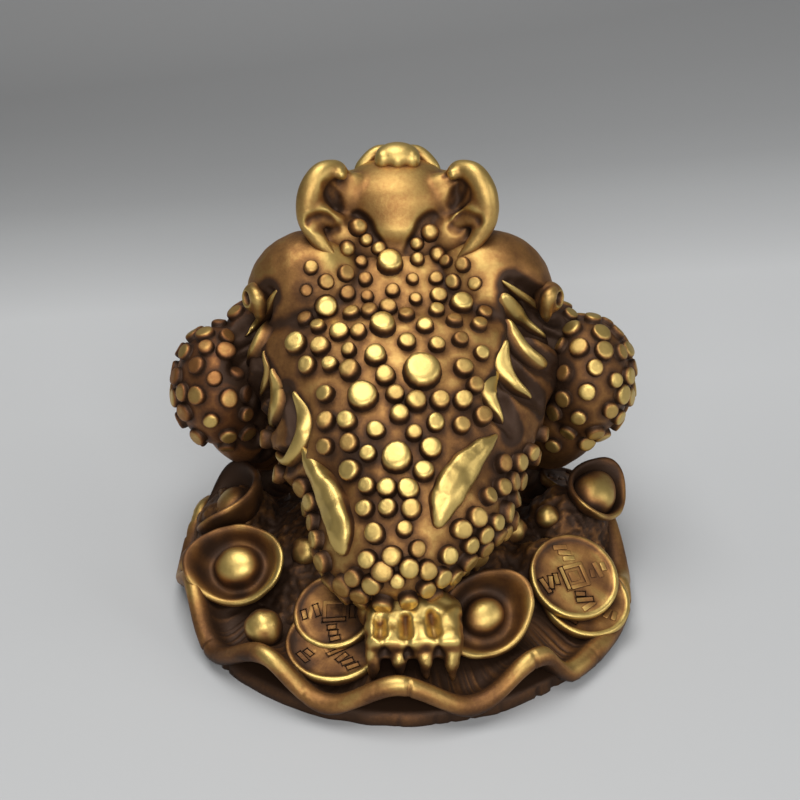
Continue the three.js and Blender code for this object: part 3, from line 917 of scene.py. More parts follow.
class TOAD_OT_head(bpy.types.Operator):
    """The head: smooth forehead, hollowed ears, brow grooves, eyes and lips."""

    bl_idname = "toad.head"
    bl_label = "Head"

    def execute(self, context):
        shape = new_shape()
        head_forms(shape)
        piece = fused(object_of("toad_head", shape), size("head_grain"), rounding=26)
        clay = Clay(piece)
        for side in SIDES:
            self.hollow(clay, side)
        for side in SIDES:
            for radius, depth in EYE_RINGS:
                clay.press([self.beside(TOAD_EYE, side)], radius, depth, edge=0.5)
            clay.press([self.beside(NOSTRIL, side)], 1.1, 1.2, edge=0.2)
        clay.relax(4)
        clay.keep()
        # Painted highlight: on the top of the head, faces turned to the camera's up are lighter
        upward = np.clip(clay.facing @ np.array(RISE), 0, 1)
        bare = eased(clay.places[:, 2], low=70, high=76)
        base = 0.26 + 0.13 * bare + 0.13 * upward * bare
        wear_by_height(piece, base, fine=1.4, broad=0.2, spans=(10, 90), floor=-0.14)
        cast(piece, brass("brass of the head", grit=0.9))
        self.knob()
        return {"FINISHED"}

    def beside(self, place, side):
        """A place given for the right side of the head, on the side that is wanted."""
        x, y, z = place
        return Vector((HEAD_MIDDLE + x * side, y, z))

    def hollow(self, clay, side):
        """Presses the hollows of one side into the head, along the camera's sight."""
        for left, right, radii, depths, edge, gentle in HEAD_HOLLOWS:
            spots = clay.sights(left if side < 0 else right)
            lean = to_side(gentle, side) if gentle else None
            clay.press(spots, radii, depths, edge, way=-LOOK, lean=lean)

    def knob(self):
        """The scalloped knob between the snout's two ridges."""
        shape = new_shape()
        egg(shape, *KNOB)
        for place in (-1, 0, 1):
            egg(shape, (3.1 * place, 35.9 + 0.5 * abs(place), 88.2), KNOB_LOBE_HALF)
        for side in SIDES:
            roll(shape, mirrored(KNOB_CURL, side), KNOB_CURL_RADII)
        centred(shape)
        piece = fused(object_of("nose_knob", shape), size("head_grain"), rounding=5)
        wear_by_height(piece, 0.62, fine=1.1, broad=0.3)
        cast(piece, brass("brass of the knob", grit=0.6))


# Fins, drops and scrolls


def skin_of(*names):
    """One skin over several finished pieces, to lay smaller pieces on."""
    places, polygons = [], []
    for name in names:
        mesh = bpy.data.objects[name].data
        start = len(places)
        places += coordinates(mesh).tolist()
        polygons += [tuple(start + corner for corner in face.vertices) for face in mesh.polygons]
    return BVHTree.FromPolygons(places, polygons)


# Steps from a spot to the places around it where the skin's normal is read too
NORMAL_STEPS = ((0, 0, 0), (2, 0, 0), (-2, 0, 0), (0, 2, 1.5), (0, -2, -1.5))
FIN_SINK = 0.3
# The hollow beside a fin: how far out and down from it, radii, depths, edge
SCOOP_OUT = 2.2
SCOOP_DOWN = 1.0
SCOOP_RADII = (2.0, 3.7, 4.0, 2.4)
SCOOP_DEPTHS = (1.5, 4.0, 4.4, 1.8)
SCOOP_EDGE = 0.45
# How much painted shade darkens the hollow beside a fin
SCOOP_PAINTED_SHADE = 0.8
SCROLL = (31.5, 21.5, 62.5)
SCROLL_HALF = (3.4, 3.4, 3.6)
# The scroll's rim from its middle, given for the right side
SCROLL_RIM = ((1.4, -0.4, 3.0), (-0.2, -2.8, 1.4), (-0.6, -2.4, -2.0), (-0.2, -1.4, -5.5))
SCROLL_RIM_RADII = (1.2, 1.7, 1.5, 0.7)
SCROLL_HOLE = (3.0, -2.0, 0.6)
SCROLL_HOLE_WAY = (0.8, -0.6, 0)


def even_normals(skin, spots):
    """Normals averaged over a few spots around each one, so that grain doesn't tip a ridge."""
    found = []
    for spot in spots:
        total = Vector((0, 0, 0))
        for step in NORMAL_STEPS:
            total += skin.find_nearest(spot + Vector(step))[1]
        found.append(total.normalized())
    return found


class TOAD_OT_fins(bpy.types.Operator):
    """The flame-shaped fins down both flanks, the scrolls above them and the drops below."""

    bl_idname = "toad.fins"
    bl_label = "Fins"

    def execute(self, context):
        for fins, (side, name) in zip((LEFT_FINS, RIGHT_FINS), NAMED_SIDES):
            self.scoop(fins, side, name)
            self.fins(fins, side, name)
        for drop, (_, name) in zip((LEFT_DROP, RIGHT_DROP), NAMED_SIDES):
            self.drop(drop, name)
        for side, name in NAMED_SIDES:
            self.scroll(side, name)
        return {"FINISHED"}

    def fins(self, fins, side, name):
        skin = skin_of("toad_back", f"foreleg_{name}")
        shape = new_shape()
        for marks, halves, height, polish in fins:
            spots = [sight_on(skin, mark)[0] for mark in marks]
            lifts = even_normals(skin, spots)
            spots = [spot - lift * FIN_SINK for spot, lift in zip(spots, lifts)]
            ridge(shape, spots, lifts, halves, height, FIN_OUTLINE, outer=-side, polish=polish)
        cast(object_of(f"fins_{name}", shape), brass(f"brass of the {name} fins", grit=0.7))

    def drop(self, drop, name):
        """A smooth drop below the fins."""
        marks, halves = drop
        shape = new_shape()
        skin = skin_of("toad_back")
        spots = [sight_on(skin, mark)[0] for mark in marks]
        lifts = even_normals(skin, spots)
        ridge(shape, spots, lifts, halves, DROP_HEIGHTS, DROP_OUTLINE, rings=60, power=6)
        piece = fused(object_of(f"drop_{name}", shape), size("head_grain"), rounding=4)
        clay = Clay(piece)
        dents = clay.roughen(pace=0.33, depth=0.3)
        clay.keep()
        outward = np.clip(clay.facing @ np.array(lifts[2]), 0, 1)
        base = 0.4 + 0.7 * eased(outward, low=0.05, high=0.5) + 0.3 * dents
        wear_by_height(piece, base, fine=1.0, broad=0.0)
        cast(piece, brass(f"brass of the {name} drop", grit=0.6))

    def scoop(self, fins, side, name):
        """Hollows the flank and the upper arm on the outer side of each fin, and paints shade into the
        hollows.
        """
        skin = skin_of("toad_back", f"foreleg_{name}")
        lines = []
        for marks, _, _, _ in fins:
            beside = [(across + side * SCOOP_OUT, rise - SCOOP_DOWN) for across, rise in marks]
            lines.append([sight_on(skin, mark)[0] for mark in beside])
        spots = [spot for line in lines for spot in spots_along(line, 8)]
        lean = Vector((side * 0.5, 0, -0.3))
        for piece_name in ("toad_back", f"foreleg_{name}"):
            piece = bpy.data.objects[piece_name]
            clay = Clay(piece)
            before = clay.places.copy()
            hollow = 1 - eased(clay.distance(spots), low=1.8, high=4.4)
            for line in lines:
                clay.press(line, SCOOP_RADII, SCOOP_DEPTHS, SCOOP_EDGE, lean=lean)
            clay.relax(3)
            moved = (hollow > 0) | (np.linalg.norm(clay.places - before, axis=1) > 0.4)
            clay.places[~moved] = before[~moved]
            clay.keep()
            # Painted shade in the hollows
            store(piece.data, stored(piece.data) - SCOOP_PAINTED_SHADE * hollow)

    def scroll(self, side, name):
        """A scroll above the fins."""
        shape = new_shape()
        centre = Vector(to_side(SCROLL, side))
        egg(shape, centre, SCROLL_HALF)
        roll(shape, [centre + step for step in mirrored(SCROLL_RIM, side)], SCROLL_RIM_RADII)
        piece = fused(object_of(f"scroll_{name}", shape), size("head_grain"), rounding=4)
        clay = Clay(piece)
        hole = centre + Vector(to_side(SCROLL_HOLE, side))
        clay.press([hole], 2.0, 2.2, edge=0.3, way=to_side(SCROLL_HOLE_WAY, side))
        clay.keep()
        wear_by_height(piece, 0.3, fine=1.2, broad=0.4)
        cast(piece, brass(f"brass of the {name} scroll"))


# Warts

# Outlines of a wart and a ball: shares of the radius and of the height, wear
WART_PROFILE = (
    (1.26, -0.30, 0.02),
    (1.08, 0.0, 0.05),
    (1.01, 0.23, 0.12),
    (1.0, 0.48, 0.22),
    (0.96, 0.68, 0.36),
    (0.87, 0.85, 0.6),
    (0.72, 0.96, 0.84),
    (0.44, 1.03, 0.92),
    (0.0, 1.07, 0.94),
)
BALL_PROFILE = (
    (1.12, -0.25, 0.05),
    (1.04, 0.2, 0.15),
    (1.0, 0.6, 0.3),
    (0.9, 1.0, 0.48),
    (0.66, 1.33, 0.7),
    (0.34, 1.5, 0.82),
    (0.0, 1.55, 0.85),
)

# How a wart differs from the next one: its lean, its stretch, the tilt and the wear of its top
LEAN = 0.2
UPWARD = 0.12
STRETCH = 0.1
TIP = 0.22
WORN = 0.3
# Heights of a wart's foot over the skin: of the lowest ring, and of the ring above it
FOOT_SINK = -0.25
FOOT_LIFT = 0.12


class WartField:
    """One piece that holds many warts."""

    def __init__(self, name, steps=14):
        self.name = name
        self.steps = steps
        self.shape = new_shape()

    def add(self, skin, spot, normal, radius, height, seed, polish, profile=WART_PROFILE):
        """Stands a wart on a spot of the skin; its seed settles how it differs from the others."""
        wear = self.shape.verts.layers.float["wear"]
        made = turned(self.shape, profile, self.steps)
        lean_x, lean_y, lean_z, stretch, tip, worn = [scatter(seed + k / 10) - 0.5 for k in range(1, 7)]
        normal = (Vector(normal) + Vector((lean_x, lean_y, lean_z)) * LEAN + UP * UPWARD).normalized()
        turn = UP.rotation_difference(normal) @ Quaternion(UP, scatter(seed) * math.pi)
        stretch = 1 + STRETCH * stretch
        tip *= TIP
        worn *= WORN
        ceiling = max(corner[1] for corner in profile)
        for vert in made:
            share = vert.co.z
            bulge = 1 + 0.02 * math.sin(3 * math.atan2(vert.co.y, vert.co.x) + seed)
            flat = Vector((vert.co.x * radius * stretch * bulge, vert.co.y * radius / stretch * bulge, 0))
            flat.z = share * height
            if share > 0.5:
                flat.z = min(flat.z + flat.x * tip, height * (0.9 * ceiling + worn * flat.y / radius))
            vert.co = turn @ flat + spot
            if share < 0.1:
                foot, facing, _, _ = skin.find_nearest(vert.co)
                vert.co = foot + facing * (FOOT_LIFT if share > 0 else FOOT_SINK)
            vert[wear] = vert[wear] * polish

    def done(self, material):
        return cast(object_of(self.name, self.shape), material)


def spread(places, keep, first, gaps, pitch, room=None):
    """Points spread evenly: each next one is the farthest from those already chosen, and from what was
    there first, whose gaps are added; where room is under 1 they stand closer."""
    candidates = np.where(keep)[0]
    spots = places[candidates]
    share = np.ones(len(spots)) if room is None else room[candidates]
    far = np.full(len(spots), FAR)
    for centre, gap in zip(first, gaps):
        far = np.minimum(far, np.linalg.norm(spots - np.array(centre), axis=1) - gap)
    chosen = []
    best = int((far / share).argmax())
    while far[best] > pitch * share[best]:
        chosen.append(int(candidates[best]))
        far = np.minimum(far, np.linalg.norm(spots - spots[best], axis=1))
        best = int((far / share).argmax())
    return chosen


# The outer edge of the warts on the flanks: heights, reach from the middle
FIN_LINE_HEIGHTS = (25, 38, 50, 60, 72)
FIN_LINE_REACH = (30, 24, 21.5, 23, 21)
# The least distance between two warts: as a share of the pitch on the back, in millimetres on the elbows
LEAST_PITCH = 0.88
ELBOW_PITCH = 4.1
# How near small warts come to a large one, as a share of an ordinary wart's radius
LARGE_WART_NEARNESS = 0.8
LARGE_WART_SEED = 400
# How much painted shade darkens the skin around a wart
WART_SHADE = 0.15


class TOAD_OT_warts(bpy.types.Operator):
    """Warts all over the back, the thigh and the elbows, and the balls under the brows."""

    bl_idname = "toad.warts"
    bl_label = "Warts"

    def execute(self, context):
        self.back()
        for side, name in NAMED_SIDES:
            self.elbow(side, name)
        self.balls()
        return {"FINISHED"}

    def back(self):
        clay = Clay(bpy.data.objects["toad_back"])
        radius, height, pitch = size("wart_radius"), size("wart_height"), size("wart_pitch")
        field = WartField("warts_of_the_back")
        large = [(sight_on(clay.skin, mark), share) for mark, share in LARGE_WARTS]
        bars, gaps = self.bars(clay)
        first = [seen[0] for seen, _ in large] + bars
        gaps = [radius * share - radius * LARGE_WART_NEARNESS for _, share in large] + gaps
        _, y, z = clay.places.T
        room = 1 - 0.2 * (1 - eased(y, low=-24, high=-12)) - 0.12 * eased(z, low=54, high=68)
        chosen = spread(clay.places, self.open_back(clay), first, gaps, pitch * LEAST_PITCH, room)
        for seed, index in enumerate(chosen):
            polish = 0.52 + 0.48 * scatter(seed * 3 + 1.5)
            spot, normal = Vector(clay.places[index]), Vector(clay.facing[index])
            middle = 1 - min(1.0, abs(spot.x) / 30) ** 2
            shoulder = float(eased(spot.z, low=54, high=68))
            scale = (0.84 + 0.34 * scatter(seed + 7.7)) * (1 - 0.2 * shoulder)
            polish *= (0.68 + 0.32 * middle) * (1 - 0.28 * shoulder)
            tall = height * (0.8 + 0.35 * scale) * (1 - 0.25 * shoulder)
            field.add(clay.skin, spot, normal, radius * scale, tall, seed, polish)
        for number, ((spot, normal), share) in enumerate(large):
            tall = height * (0.85 + 0.35 * share)
            field.add(clay.skin, spot, normal, radius * share, tall, LARGE_WART_SEED + number, polish=1.0)
        field.done(brass("brass of the back's warts", lift=0.06))
        self.darken(bpy.data.objects["toad_back"], clay, chosen)

    def bars(self, clay):
        """Spots of the fins, drops and balls that warts keep clear of, and how much further than a pitch."""
        spots, gaps = [], []
        for marks, _, _, _ in LEFT_FINS + RIGHT_FINS:
            spots += spots_along(clay.sights(marks), 6)
            gaps += [0.6] * 7
        for marks, halves in (LEFT_DROP, RIGHT_DROP):
            spots += spots_along(clay.sights(marks), 8)
            gaps += [station(halves, k / 8) - 1.2 for k in range(9)]
        for mark, _ in BROW_BALLS:
            spots.append(sight_on(clay.skin, mark)[0])
            gaps.append(-0.6)
        return spots, gaps

    def open_back(self, clay):
        """Which points of the back can carry a wart."""
        x, y, z = clay.places.T
        outer = np.abs(x)
        upward = clay.facing[:, 2]
        fin_line = np.interp(z, FIN_LINE_HEIGHTS, FIN_LINE_REACH)
        rump = (y < -20) & (z > 14) & (upward > -0.7)
        keep = ((upward > -0.25) & (z > 17) | rump) & (y < 27) & (z < 71.5)
        keep &= (outer < fin_line) | (z < 40)
        keep &= ~((y > 12) & (outer > 21))
        others = ("toad_head", "foreleg_left", "foreleg_right")
        skins = [Clay(bpy.data.objects[name]).skin for name in others]
        for index in np.where(keep)[0]:
            probe = Vector(clay.places[index]) + Vector(clay.facing[index]) * 0.6
            for skin in skins:
                near, facing, _, gap = skin.find_nearest(probe, 2.5)
                if near is not None and (gap < 1.2 or (probe - near).dot(facing) < 0):
                    keep[index] = False
        return keep

    def darken(self, piece, clay, chosen):
        """Painted shade darkens the skin around each wart."""
        near = 1 - eased(clay.distance(clay.places[chosen]), low=2.2, high=4.0)
        store(piece.data, stored(piece.data) - WART_SHADE * near)

    def elbow(self, side, name):
        piece = bpy.data.objects[f"foreleg_{name}"]
        clay = Clay(piece)
        back = Clay(bpy.data.objects["toad_back"]).skin
        field = WartField(f"warts_of_the_{name}_elbow")
        away = (clay.places - np.array(elbow_middle(side))) / np.array(ELBOW_HALF)
        keep = (np.linalg.norm(away, axis=1) > 0.9) & (clay.places[:, 2] > 30)
        keep &= (away[:, 0] * side > -0.75) & (away[:, 1] < 0.85)
        for index in np.where(keep)[0]:
            keep[index] = back.find_nearest(Vector(clay.places[index]), 2.0)[0] is None
        fins = LEFT_FINS if side < 0 else RIGHT_FINS
        bars = [spot for marks, _, _, _ in fins for spot in spots_along(clay.sights(marks), 6)]
        chosen = spread(clay.places, keep, bars, [0.4] * len(bars), ELBOW_PITCH)
        for seed, index in enumerate(chosen):
            spot, normal = Vector(clay.places[index]), Vector(clay.facing[index])
            radius = size("wart_radius") * (0.84 + 0.28 * scatter(seed + 3.3))
            # Painted light: the 0.12 * side term makes warts on the right elbow lighter, as the light falls
            # from the right
            polish = 0.5 + 0.12 * side + 0.42 * scatter(seed * 5 + 2)
            field.add(clay.skin, spot, normal, radius, size("wart_height") * 0.75, seed, polish)
        field.done(brass(f"brass of the {name} elbow's warts", red=ARM_RED[side]))
        self.darken(piece, clay, chosen)

    def balls(self):
        skin = skin_of("toad_back", "toad_head")
        field = WartField("balls_under_the_brows", steps=18)
        for seed, (mark, radius) in enumerate(BROW_BALLS):
            spot, normal = sight_on(skin, mark)
            normal = (normal - LOOK).normalized()
            field.add(skin, spot, normal, radius, radius * 0.85, seed, polish=0.75, profile=BALL_PROFILE)
        field.done(brass("brass of the balls"))


# The leaf, the plate and the heap

LEAF_WAVES = 10
WAVE_TURN = math.radians(91)
WAVE_PULL = 0.6
# The low flat stretch of the rim: its middle, where it fades out, how far down and out it goes
FLAT_MIDDLE = math.radians(-29)
FLAT_HALF = math.radians(15)
FLAT_END = math.radians(23)
FLAT_DROP = 4
FLAT_REACH = 1.2
# The leaf's outline before it waves: mean radius and height of its rim, and the outline itself
OUTLINE_RADIUS = 48.5
OUTLINE_RIM = 9.5
LEAF_OUTLINE = (
    (0.0, 3.0),
    (20.0, 3.0),
    (37.0, 3.0),
    (43.5, 5.0),
    (46.9, 6.5),
    (48.6, 7.4),
    (49.5, 8.4),
    (49.75, 9.5),
    (49.5, 10.5),
    (48.7, 11.3),
    (47.6, 11.55),
    (46.6, 11.25),
    (45.7, 10.4),
    (44.8, 9.4),
    (43.7, 8.6),
    (42.2, 8.2),
    (40.5, 8.3),
    (36.0, 8.8),
    (25.0, 9.3),
    (0.0, 9.5),
)

# The treasure's places are given for a leaf of this radius
LAYOUT_RADIUS = 48
LEAF_TOP = 8.1
LEAF_FLOOR = 0.8
# The plate's edge: distance out from its radius, height, wear; the darkening toward the top, under the
# leaf's rim, is painted shade
PLATE_EDGE = (
    (-3, 0, 0.1),
    (-0.5, 0, 0.3),
    (0, 0.6, 0.24),
    (0.1, 1.6, 0.2),
    (-0.1, 2.8, 0.14),
    (-0.5, 3.6, 0.08),
    (-1.2, 4.0, 0.08),
)
PLATE_TOP = 4.0


def on_leaf(x, y, z):
    """A place of the treasure, spread as the leaf is."""
    spread_out = OUTLINE_RADIUS / LAYOUT_RADIUS
    return Vector((x * spread_out, y * spread_out, z))


def rim_noise(angle, pace, height):
    """A noise along a rim that meets itself after a full turn."""
    return noise.noise(Vector((math.cos(angle) * pace, math.sin(angle) * pace, height)))


def flat_share(angle):
    """How much of the low flat stretch at the right is felt at an angle."""
    return 1 - float(eased(abs(angle - FLAT_MIDDLE), FLAT_HALF, FLAT_END))


def leaf_wave(angle):
    return math.cos(LEAF_WAVES * (angle + WAVE_TURN)) * (1 - flat_share(angle))


def leaf_point(radius, angle, height):
    """Where a point of the plain outline lies on the waving leaf, and how worn it is."""
    upper = height > LEAF_TOP
    flat, wave = flat_share(angle), leaf_wave(angle)
    share = float(eased(radius, low=33, high=OUTLINE_RADIUS))
    edge = float(eased(radius, low=46.6, high=48.4))
    lift = size("leaf_wave_height") * wave * (1 + 0.35 * math.cos(angle) ** 2)
    lift += size("leaf_rim_height") - OUTLINE_RIM - FLAT_DROP * flat
    pull = 1 + (FLAT_REACH * flat - WAVE_PULL * wave) / OUTLINE_RADIUS * share

    inside = float(eased(radius, low=36, high=39) * (1 - eased(radius, low=44.5, high=46)))
    rough = rim_noise(angle, 30, radius * 0.06)
    vein = (0.16 * math.sin(angle * 170 + 6.6 * rough) + 0.18 * rough) * inside if upper else 0
    dent = 0.34 * rim_noise(angle, 7, radius * 0.2)
    nick = 0.5 * float(eased(rim_noise(angle, 21, 4), low=0.35, high=0.6)) * edge
    reach = radius * pull * size("leaf_radius") / OUTLINE_RADIUS - nick
    level = max(height + lift * share + vein + dent * share - 0.4 * nick, LEAF_FLOOR)

    top = float(eased(radius, low=45.6, high=47.6)) if upper else 0.5 * edge
    crest = 0.5 + 0.5 * wave
    high = float(eased(level - lift, low=8.8, high=11.2))
    shine = 0.08 + 0.12 * high**2 + 0.3 * crest**2 * high + 0.26 * rim_noise(angle, 5, 7) + 0.8 * dent
    place = Vector((reach * math.cos(angle), reach * math.sin(angle), level))
    return place, 0.08 + top * shine + vein + 0.1 * edge


class TOAD_OT_leaf(bpy.types.Operator):
    """The wavy lotus leaf with its curled rim and fine veins, and the plate under it."""

    bl_idname = "toad.leaf"
    bl_label = "Leaf"

    def execute(self, context):
        self.leaf()
        self.plate()
        return {"FINISHED"}

    def leaf(self):
        shape = new_shape()
        wear = shape.verts.layers.float["wear"]
        for vert in turned(shape, LEAF_OUTLINE, steps=720):
            radius = math.hypot(vert.co.x, vert.co.y)
            if radius > TINY:
                angle = math.atan2(vert.co.y, vert.co.x)
                vert.co, vert[wear] = leaf_point(radius, angle, vert.co.z)
        piece = object_of("leaf", shape)
        store(piece.data, stored(piece.data))
        cast(piece, brass("brass of the leaf"))

    def plate(self):
        """The thick plate that the whole figure stands on."""
        shape = new_shape()
        wear = shape.verts.layers.float["wear"]
        radius = size("plate_radius")
        edge = [(radius + out, height, worn) for out, height, worn in PLATE_EDGE]
        profile = [(0, 0, 0.1), *edge, (0, PLATE_TOP, 0.1)]
        for vert in turned(shape, profile, steps=360):
            reach = math.hypot(vert.co.x, vert.co.y)
            if reach < TINY:
                continue
            angle = math.atan2(vert.co.y, vert.co.x)
            side = float(eased(reach, low=radius - 4, high=radius - 0.6))
            middle = 1.0 if 0.5 < vert.co.z < 3.2 else 0.0
            bump = 0.5 * middle * rim_noise(angle, 9, vert.co.z * 0.3)
            notch = middle * float(eased(rim_noise(angle, 34, 9), low=0.25, high=0.5))
            pull = 1 + (bump - 0.55 * notch) / radius * side
            vert.co.x *= pull
            vert.co.y *= pull
            # Painted shade: the notches are darker
            vert[wear] -= 0.4 * notch
        cast(object_of("plate", shape), brass("brass of the plate"))


# Banks of the heap under the hindmost ingots and the right coin: x, y, radius, half height
BANKS = ((-36, 9, 11, 15), (36, 9, 11, 15), (29, -8, 8, 13.5))
BANK_MIDDLE = 5
# The mound: radius, height
HEAP_FOOT = 1
HEAP_OUTLINE = (
    (0, HEAP_FOOT),
    (38, HEAP_FOOT),
    (38.4, 5.0),
    (38, 6.65),
    (34.5, 9.6),
    (30.4, 12.35),
    (25, 15.6),
    (19, 18.05),
    (0, 19),
)
HEAP_SHIFT = 2
# A small pit in the heap, as a mark
PIT = (20.9, -28.8)


class TOAD_OT_heap(bpy.types.Operator):
    """The rough dark mound between the coins."""

    bl_idname = "toad.heap"
    bl_label = "Heap"

    def execute(self, context):
        shape = new_shape()
        for vert in turned(shape, HEAP_OUTLINE, steps=96):
            vert.co.y += HEAP_SHIFT
        for x, y, radius, half in BANKS:
            for vert in egg(shape, on_leaf(x, y, BANK_MIDDLE), (radius, radius, half)):
                vert.co.z = max(vert.co.z, HEAP_FOOT)
        piece = fused(object_of("heap", shape), size("heap_grain"), rounding=6)
        clay = Clay(piece)
        spots = [Vector(spot) for spot in clay.places]
        lumps = np.array([noise.fractal(spot * 0.16, 0.6, 2.1, 4) for spot in spots])
        ridges = np.array([noise.ridged_multi_fractal(spot * 0.10, 0.8, 2.0, 3, 1, 2) for spot in spots])
        above = eased(clay.places[:, 2], low=4, high=8)
        clay.places += clay.facing * ((lumps - 0.35 * (ridges - 1)) * above)[:, None]
        clay.press(clay.sights([PIT]), 2.3, 3.2, edge=0.35)
        clay.keep()
        wear_by_height(piece, 0.06, fine=0.5, broad=0.2)
        cast(piece, brass("brass of the heap", shade=0.9))
        return {"FINISHED"}


# Treasure

# Ingots: x, y, z, lean, spin, size, size of the ball, how rubbed it is
INGOTS = (
    (-34.8, -11, 14, (-0.25, -0.75), -8, 0.97, 1.0, 0.06),
    (-36.8, 8, 16.5, (-0.85, 0.1), 80, 0.95, 1.0, -0.24),
    (16.5, -28, 13.8, (0.1, -0.8), 40, 0.95, 0.9, 0.04),
    (41.8, 9.5, 18.8, (0.5, -0.35), 70, 0.76, 1.4, -0.12),
    (-19, 39, 13, (-0.2, 0.7), -20, 1.0, 1.0, 0.0),
)
# Coins: x, y, z, lean, size, how clear the strokes are
COINS = (
    (36, -14, 13.6, (0.25, -0.55), 1.0, 1.0),
    (38.5, -15.5, 8.9, (0.2, -0.35), 1.0, 1.0),
    (-14, -25.4, 13, (-0.2, -0.45), 0.9, 0.15),
    (-14, -31.5, 9.5, (-0.04, -0.24), 1.05, 0.15),
    (13, 41, 11, (0.1, 0.45), 1.0, 0.8),
    (39.5, 25.5, 10.4, (0.35, 0.25), 0.9, 0.8),
)
# Pearls: x, y, z, size
PEARLS = (
    (-28.7, -28.3, 11.3, 1.05),
    (-44.8, -2.5, 9.2, 1.0),
    (23.8, -0.5, 16.6, 0.8),
    (31.5, 4, 17, 0.7),
    (-20.5, -8, 16, 0.9),
)
# An ingot's outline from its underside over the rim to the ball: shares of radius and height, wear
INGOT_PROFILE = (
    (0.0, -0.55, 0.1),
    (0.38, -0.52, 0.1),
    (0.62, -0.44, 0.16),
    (0.84, -0.14, 0.24),
    (0.96, 0.10, 0.3),
    (1.015, 0.24, 0.34),
    (1.03, 0.36, 0.4),
    (1.0, 0.46, 0.44),
    (0.95, 0.49, 0.42),
    (0.89, 0.46, 0.36),
    (0.84, 0.36, 0.34),
    (0.79, 0.22, 0.3),
    (0.73, 0.06, 0.28),
    (0.66, -0.03, 0.26),
    (0.60, -0.05, 0.24),
    (0.53, 0.02, 0.26),
    (0.50, 0.16, 0.3),
    (0.47, 0.34, 0.36),
    (0.41, 0.48, 0.52),
    (0.30, 0.60, 0.68),
    (0.16, 0.67, 0.8),
    (0.0, 0.69, 0.82),
)
BALL_EDGE = 0.6
# A coin's outline at its upper rim: distance from its radius, height over its face, wear
COIN_RIM = (
    (0, 0.1, 0.75),
    (-0.35, 0.42, 0.9),
    (-0.95, 0.36, 0.6),
    (-1.35, 0, 0.26),
)
# A coin's face from the rim to its middle: share of its radius, height over its half thickness, wear
COIN_FACE = (
    (0.75, 0.03, 0.34),
    (0.5, 0.05, 0.38),
    (0, 0.05, 0.4),
)
COIN_TURN = 24
COIN_TURN_STEP = 31
# A coin's strokes: half width and half height of a bar, wear of a stroke and of the frame
BAR_HALF = 0.5
STROKE_HALF = 0.6
BAR_HEIGHT = 0.2
STROKE_WEAR = 0.42
FRAME_WEAR = 0.44
# The way down the picture, where round pieces get a painted highlight
PAINTED_HIGHLIGHT_WAY = Vector((0.35, -0.9, -0.25)).normalized()


def paint_highlight_low_side(verts, wear, centre, radius, gain):
    """Paints a highlight on the rim of a round piece where it faces down the picture, and paints shade on it
    elsewhere.
    """
    for vert in verts:
        away = vert.co - centre
        rim = float(eased(away.length / radius, low=0.78, high=0.94))
        vert[wear] += gain * rim * (away.normalized().dot(PAINTED_HIGHLIGHT_WAY) - 0.25)


class TOAD_OT_ingots(bpy.types.Operator):
    """Boat-shaped ingots with a ball in the middle."""

    bl_idname = "toad.ingots"
    bl_label = "Ingots"

    def execute(self, context):
        for number, (x, y, z, lean, spin, share, swell, brightening) in enumerate(INGOTS):
            shape = new_shape()
            wear = shape.verts.layers.float["wear"]
            radius, height = size("ingot_radius") * share, size("ingot_height") * share
            centre = on_leaf(x, y, z)
            made = turned(shape, self.outline(radius, height, swell, brightening), steps=64)
            for vert in made:
                along = abs(vert.co.x) / radius
                vert.co.z += 0.5 * height * along**3
                vert.co.x *= 1 + 0.1 * along**2
                vert.co.y *= 0.9
                dent = noise.noise(vert.co * 0.28 + Vector((number * 7, 0, 0)))
                vert.co *= 1 + 0.02 * dent
                # Painted highlight: the side of an ingot that faces down and right in the picture is lighter
                highlight_angle = math.atan2(vert.co.y, vert.co.x) + math.radians(spin + 50)
                vert[wear] += 0.3 * dent + 0.16 * math.cos(highlight_angle) * float(eased(along, low=0.1, high=0.6))
            placed(made, centre, tilted(*lean), spin)
            # Painted highlight on the ingot's rim where it faces down the picture, painted shade elsewhere
            paint_highlight_low_side(made, wear, centre, radius, gain=0.2)
            cast(object_of(f"ingot_{number + 1}", shape), brass(f"brass of ingot {number + 1}", grit=0.7))
        return {"FINISHED"}

    def outline(self, radius, height, swell, brightening):
        """An ingot's outline in millimetres, with its ball swollen and all of it more or less rubbed."""
        corners = []
        for place, (reach, rise, worn) in enumerate(INGOT_PROFILE):
            ball = place > len(INGOT_PROFILE) // 2 and reach < BALL_EDGE
            grown = swell if ball else 1
            corners.append((reach * grown * radius, rise * height * grown, worn + brightening))
        return corners


def bar(shape, centre, half, spin, wear_value):
    """A small rounded bar lying on a coin's face."""
    wear = shape.verts.layers.float["wear"]
    for vert in block(shape, centre, half, Quaternion(UP, math.radians(spin)), rounding=0.9, segments=3):
        vert[wear] = wear_value * (1.0 if vert.co.z > centre[2] else 0.7)


